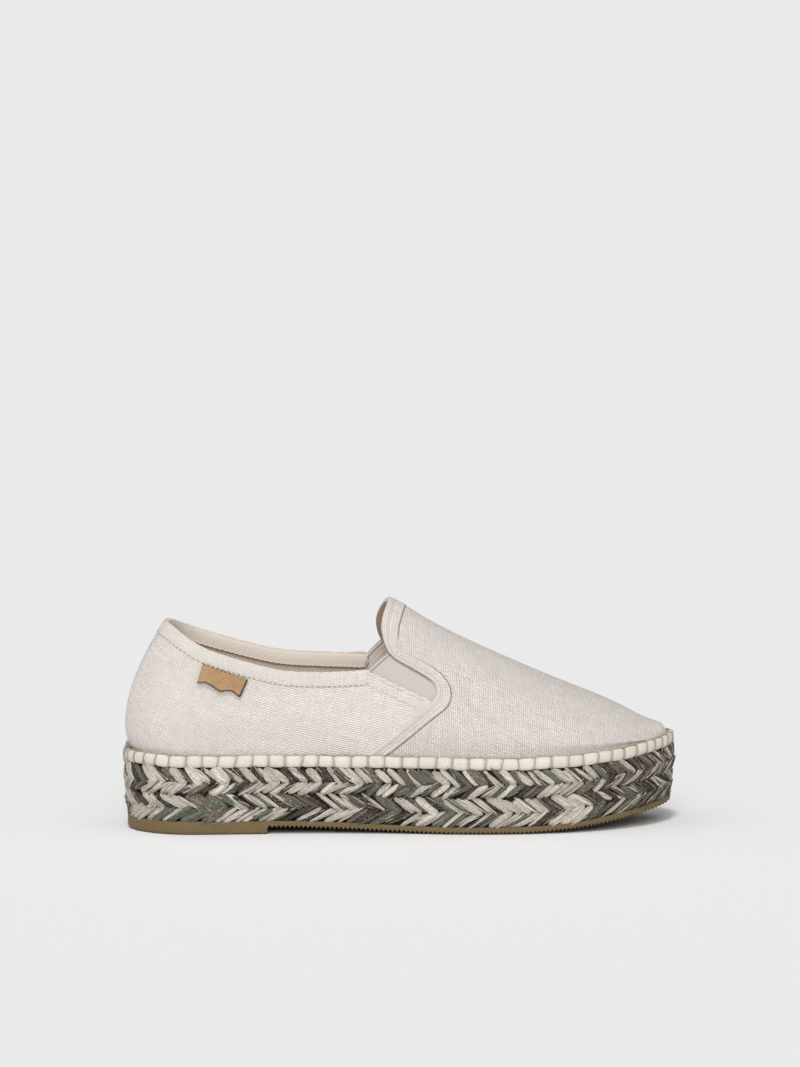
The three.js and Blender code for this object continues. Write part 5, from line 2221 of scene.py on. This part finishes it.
@dataclass
class Tread:
    """Rubber unit with fine cross ribs underneath that show as teeth along its lower edge."""

    finishes: Wardrobe
    inset: float = 2.0
    pitch: float = 2.05
    tooth: float = 1.15
    rounding: float = 1.6
    heel_dash: float = 0.5

    def places(self) -> Array:
        """Distances of the cross sections: four to each rib, and closer at the two rounded ends."""
        even = np.arange(0.9, LAST.length - 0.3, self.pitch / 4)
        step = np.array([LAST.heel_block - 0.05, LAST.heel_block + 0.02])
        heel = LAST.length * (1 - np.cos(np.linspace(0, 0.075, 10) * np.pi)) / 2
        toe = LAST.length - heel[::-1]
        return np.unique(np.round(np.concatenate([even, step, heel, toe]), 4))

    def under(self, at: Array) -> Array:
        """Height of the underside, without its ribs."""
        raised = LAST.outsole_top(at) - LAST.outsole_thickness
        return np.where(at < LAST.heel_block, 0.0, raised)

    def make(self) -> None:
        """Builds the outsole."""
        at = self.places()
        station = LAST.station(at)
        wave = np.abs(np.mod(at / self.pitch, 1.0) - 0.5) * 2
        ribs = np.where(at < LAST.heel_block, self.heel_dash, self.tooth) * smooth(wave, 0.1, 0.75)
        across = np.array([1.0, 0.97, 0.9, 0.7, 0.4, 0.0])
        rings = []
        for side in (-1, 1):
            foot = LAST.outline(station, side, self.inset + 1.0)
            low = self.under(foot[:, 0])
            top = LAST.outsole_top(foot[:, 0])
            columns = []
            for share in across[::-1]:
                plan = foot.copy()
                plan[:, 1] = LAST.spine(foot[:, 0]) + (foot[:, 1] - LAST.spine(foot[:, 0])) * share
                columns.append(np.column_stack([plan, np.maximum(low + ribs, 0.0)]))
            for inset, rise in ((0.5, 0.08), (0.12, 0.5), (0.0, 1.0)):
                plan = LAST.outline(station, side, self.inset + inset)
                height = np.minimum(low + ribs * (1 - rise) + self.rounding * rise, top - 0.3)
                columns.append(np.column_stack([plan, height]))
            for inset, drop in ((0.0, 0.25), (0.25, 0.0)):
                plan = LAST.outline(station, side, self.inset + inset)
                columns.append(np.column_stack([plan, top - drop]))
            middle = plan.copy()
            middle[:, 1] = LAST.spine(plan[:, 0])
            columns.append(np.column_stack([middle, top]))
            rings.append(np.stack(columns, axis=1))
        loop = np.concatenate([rings[0], rings[1][:, ::-1]], axis=1)
        builder = Builder().pipe(loop, lattice(at, np.arange(loop.shape[1] + 1) * 2.0))
        settle(builder.build("rubber_outsole", [self.finishes.rubber], sharp=38), "rubber", "outsole")


@dataclass
class Insole:
    """Cloth-covered sock, dished a little under the foot, with a stitched edge."""

    tables: Tables
    finishes: Wardrobe
    repeat: Repeater
    thickness: float = 2.8

    def make(self) -> None:
        """Builds the insole."""
        inset = LAST.feather + 1.8 + LAST.gap
        station = np.linspace(0, 1, 120)
        share = np.linspace(-1, 1, 49)
        edges = [LAST.outline(station, side, inset) for side in (-1, 1)]
        plan = edges[0][:, None] + (edges[1] - edges[0])[:, None] * ((share + 1) / 2)[None, :, None]
        base = LAST.topline(plan[..., 0]) + LAST.gap
        at = plan[..., 0]
        roll = 0.9 * (1 - quarter_round(1 - np.abs(share), 0.06))[None, :]
        ends = 0.9 * (1 - quarter_round(np.minimum(station, 1 - station), 0.035))[:, None]
        dish = 0.8 * np.exp(-(((at - 38) / 24) ** 2)) + 0.6 * np.exp(-(((at - 190) / 34) ** 2))
        dish = dish * np.clip(1 - share[None, :] ** 2, 0, 1)
        top = np.concatenate([plan, (base + self.thickness - roll - ends - dish)[..., None]], axis=-1)
        low = np.concatenate([plan, base[..., None]], axis=-1)
        made = Builder().shell(top, low, plan).build("insole_sock", [self.finishes.insole])
        settle(made, "lining", "insole")
        rows = []
        for side in (-1, 1):
            line = even_line(LAST.outline(np.linspace(0.1, 0.9, 300), side, inset + 4.0), 1.5)
            height = LAST.topline(line[:, 0]) + LAST.gap + self.thickness + 0.08
            line = np.column_stack([line, height - 0.1])
            rows.append(stitch_spots(line, np.broadcast_to([0.0, 0.0, 1.0], line.shape), 3.2))
        thread, size = self.finishes.thread, (2.2, 0.55, 0.55)
        self.repeat.set("insole_stitches", stitch_shape(), joined(*rows), thread, "lining", size, seed=9)


# ---- Studio ----


class Lamp(Enum):
    """The studio's lamps: azimuth and height in degrees, strength, and how wide the source looks."""

    KEY = (-10.0, 60.0, 1.14, 9.0)
    FRONT = (-7.0, 26.0, 1.0, 24.0)


@dataclass(frozen=True)
class Studio:
    """Pale even floor and backdrop, soft lamps, and the camera."""

    azimuth: float = -4.0
    elevation: float = 8.0
    distance: float = 2.0
    aim_right: float = -0.0005
    aim_up: float = 0.1373
    lens: float = 142.2
    backdrop: Colour = (234, 234, 234)
    floor_radius: float = 60.0
    ambient: tuple[float, float] = (0.20, 0.56)
    brightest: Row = (-0.4, -0.8, 0.45)

    def camera(self) -> None:
        """Sets the camera at the shoe's viewing angle."""
        data = bpy.data.cameras.new("camera")
        data.sensor_width, data.lens = 36.0, self.lens
        data.clip_start, data.clip_end = 0.05, 200.0
        back = heading(self.azimuth, self.elevation)
        right = -heading(self.azimuth - 90, 0.0)
        up = back.cross(right)
        aim = right * self.aim_right + up * self.aim_up
        place = back * self.distance
        made = placed("camera", data)
        made.location = place
        made.rotation_mode = "QUATERNION"
        made.rotation_quaternion = (aim - place).to_track_quat("-Z", "Y")
        bpy.context.scene.camera = made

    def light(self) -> None:
        """Sets the sky's even light and the lamps."""
        world = bpy.data.worlds.new("studio")
        bpy.context.scene.world = world
        world.use_nodes = True
        net = Net(world.node_tree)
        world.node_tree.nodes.clear()
        way = net.add("ShaderNodeTexCoord").outputs["Generated"]
        facing = net.add("ShaderNodeVectorMath", {0: way, 1: self.brightest}, operation="DOT_PRODUCT")
        strength = net.span(facing.outputs["Value"], -1.0, 1.0, *self.ambient)
        fill = net.add("ShaderNodeBackground", {"Color": (1.0, 1.0, 1.0, 1.0), "Strength": strength})
        seen = net.add("ShaderNodeBackground", {"Color": srgb(*self.backdrop), "Strength": 1.0})
        straight = net.add("ShaderNodeLightPath").outputs["Is Camera Ray"]
        chosen = net.add("ShaderNodeMixShader", {0: straight, 1: fill.outputs[0], 2: seen.outputs[0]})
        net.add("ShaderNodeOutputWorld", {0: chosen.outputs[0]})
        for lamp in Lamp:
            azimuth, height, strength, spread = lamp.value
            data = bpy.data.lights.new(lamp.name.lower(), "SUN")
            data.energy, data.angle = strength, math.radians(spread)
            made = placed(lamp.name.lower(), data)
            made.rotation_mode = "QUATERNION"
            made.rotation_quaternion = (-heading(azimuth, height)).to_track_quat("-Z", "Y")

    def floor(self, finish: Material) -> None:
        """Lays the floor."""
        mesh = bpy.data.meshes.new("floor")
        shape = bmesh.new()
        bmesh.ops.create_circle(shape, cap_ends=True, segments=96, radius=self.floor_radius)
        shape.to_mesh(mesh)
        shape.free()
        mesh.materials.append(finish)
        placed("floor", mesh)

    def make(self, finishes: Wardrobe) -> None:
        """Builds the studio."""
        self.camera()
        self.light()
        self.floor(finishes.paper)
        bpy.context.scene.view_settings.view_transform = "Standard"


def main() -> None:
    """Builds the shoe, one sub-assembly after another, and the studio round it."""
    logging.basicConfig(level=logging.INFO, format="%(name)s %(message)s")
    tables = Tables(LAST)
    finishes = Wardrobe()
    repeat, fuzz = Repeater(), Fuzz()
    whip = Stitchwork(tables)
    Upper(tables, whip, finishes, repeat).make()
    Piping(whip, finishes, repeat).make()
    Braid(whip, finishes, repeat, fuzz).make()
    Tread(finishes).make()
    Insole(tables, finishes, repeat).make()
    Studio().make(finishes)


if __name__ == "__main__":
    main()
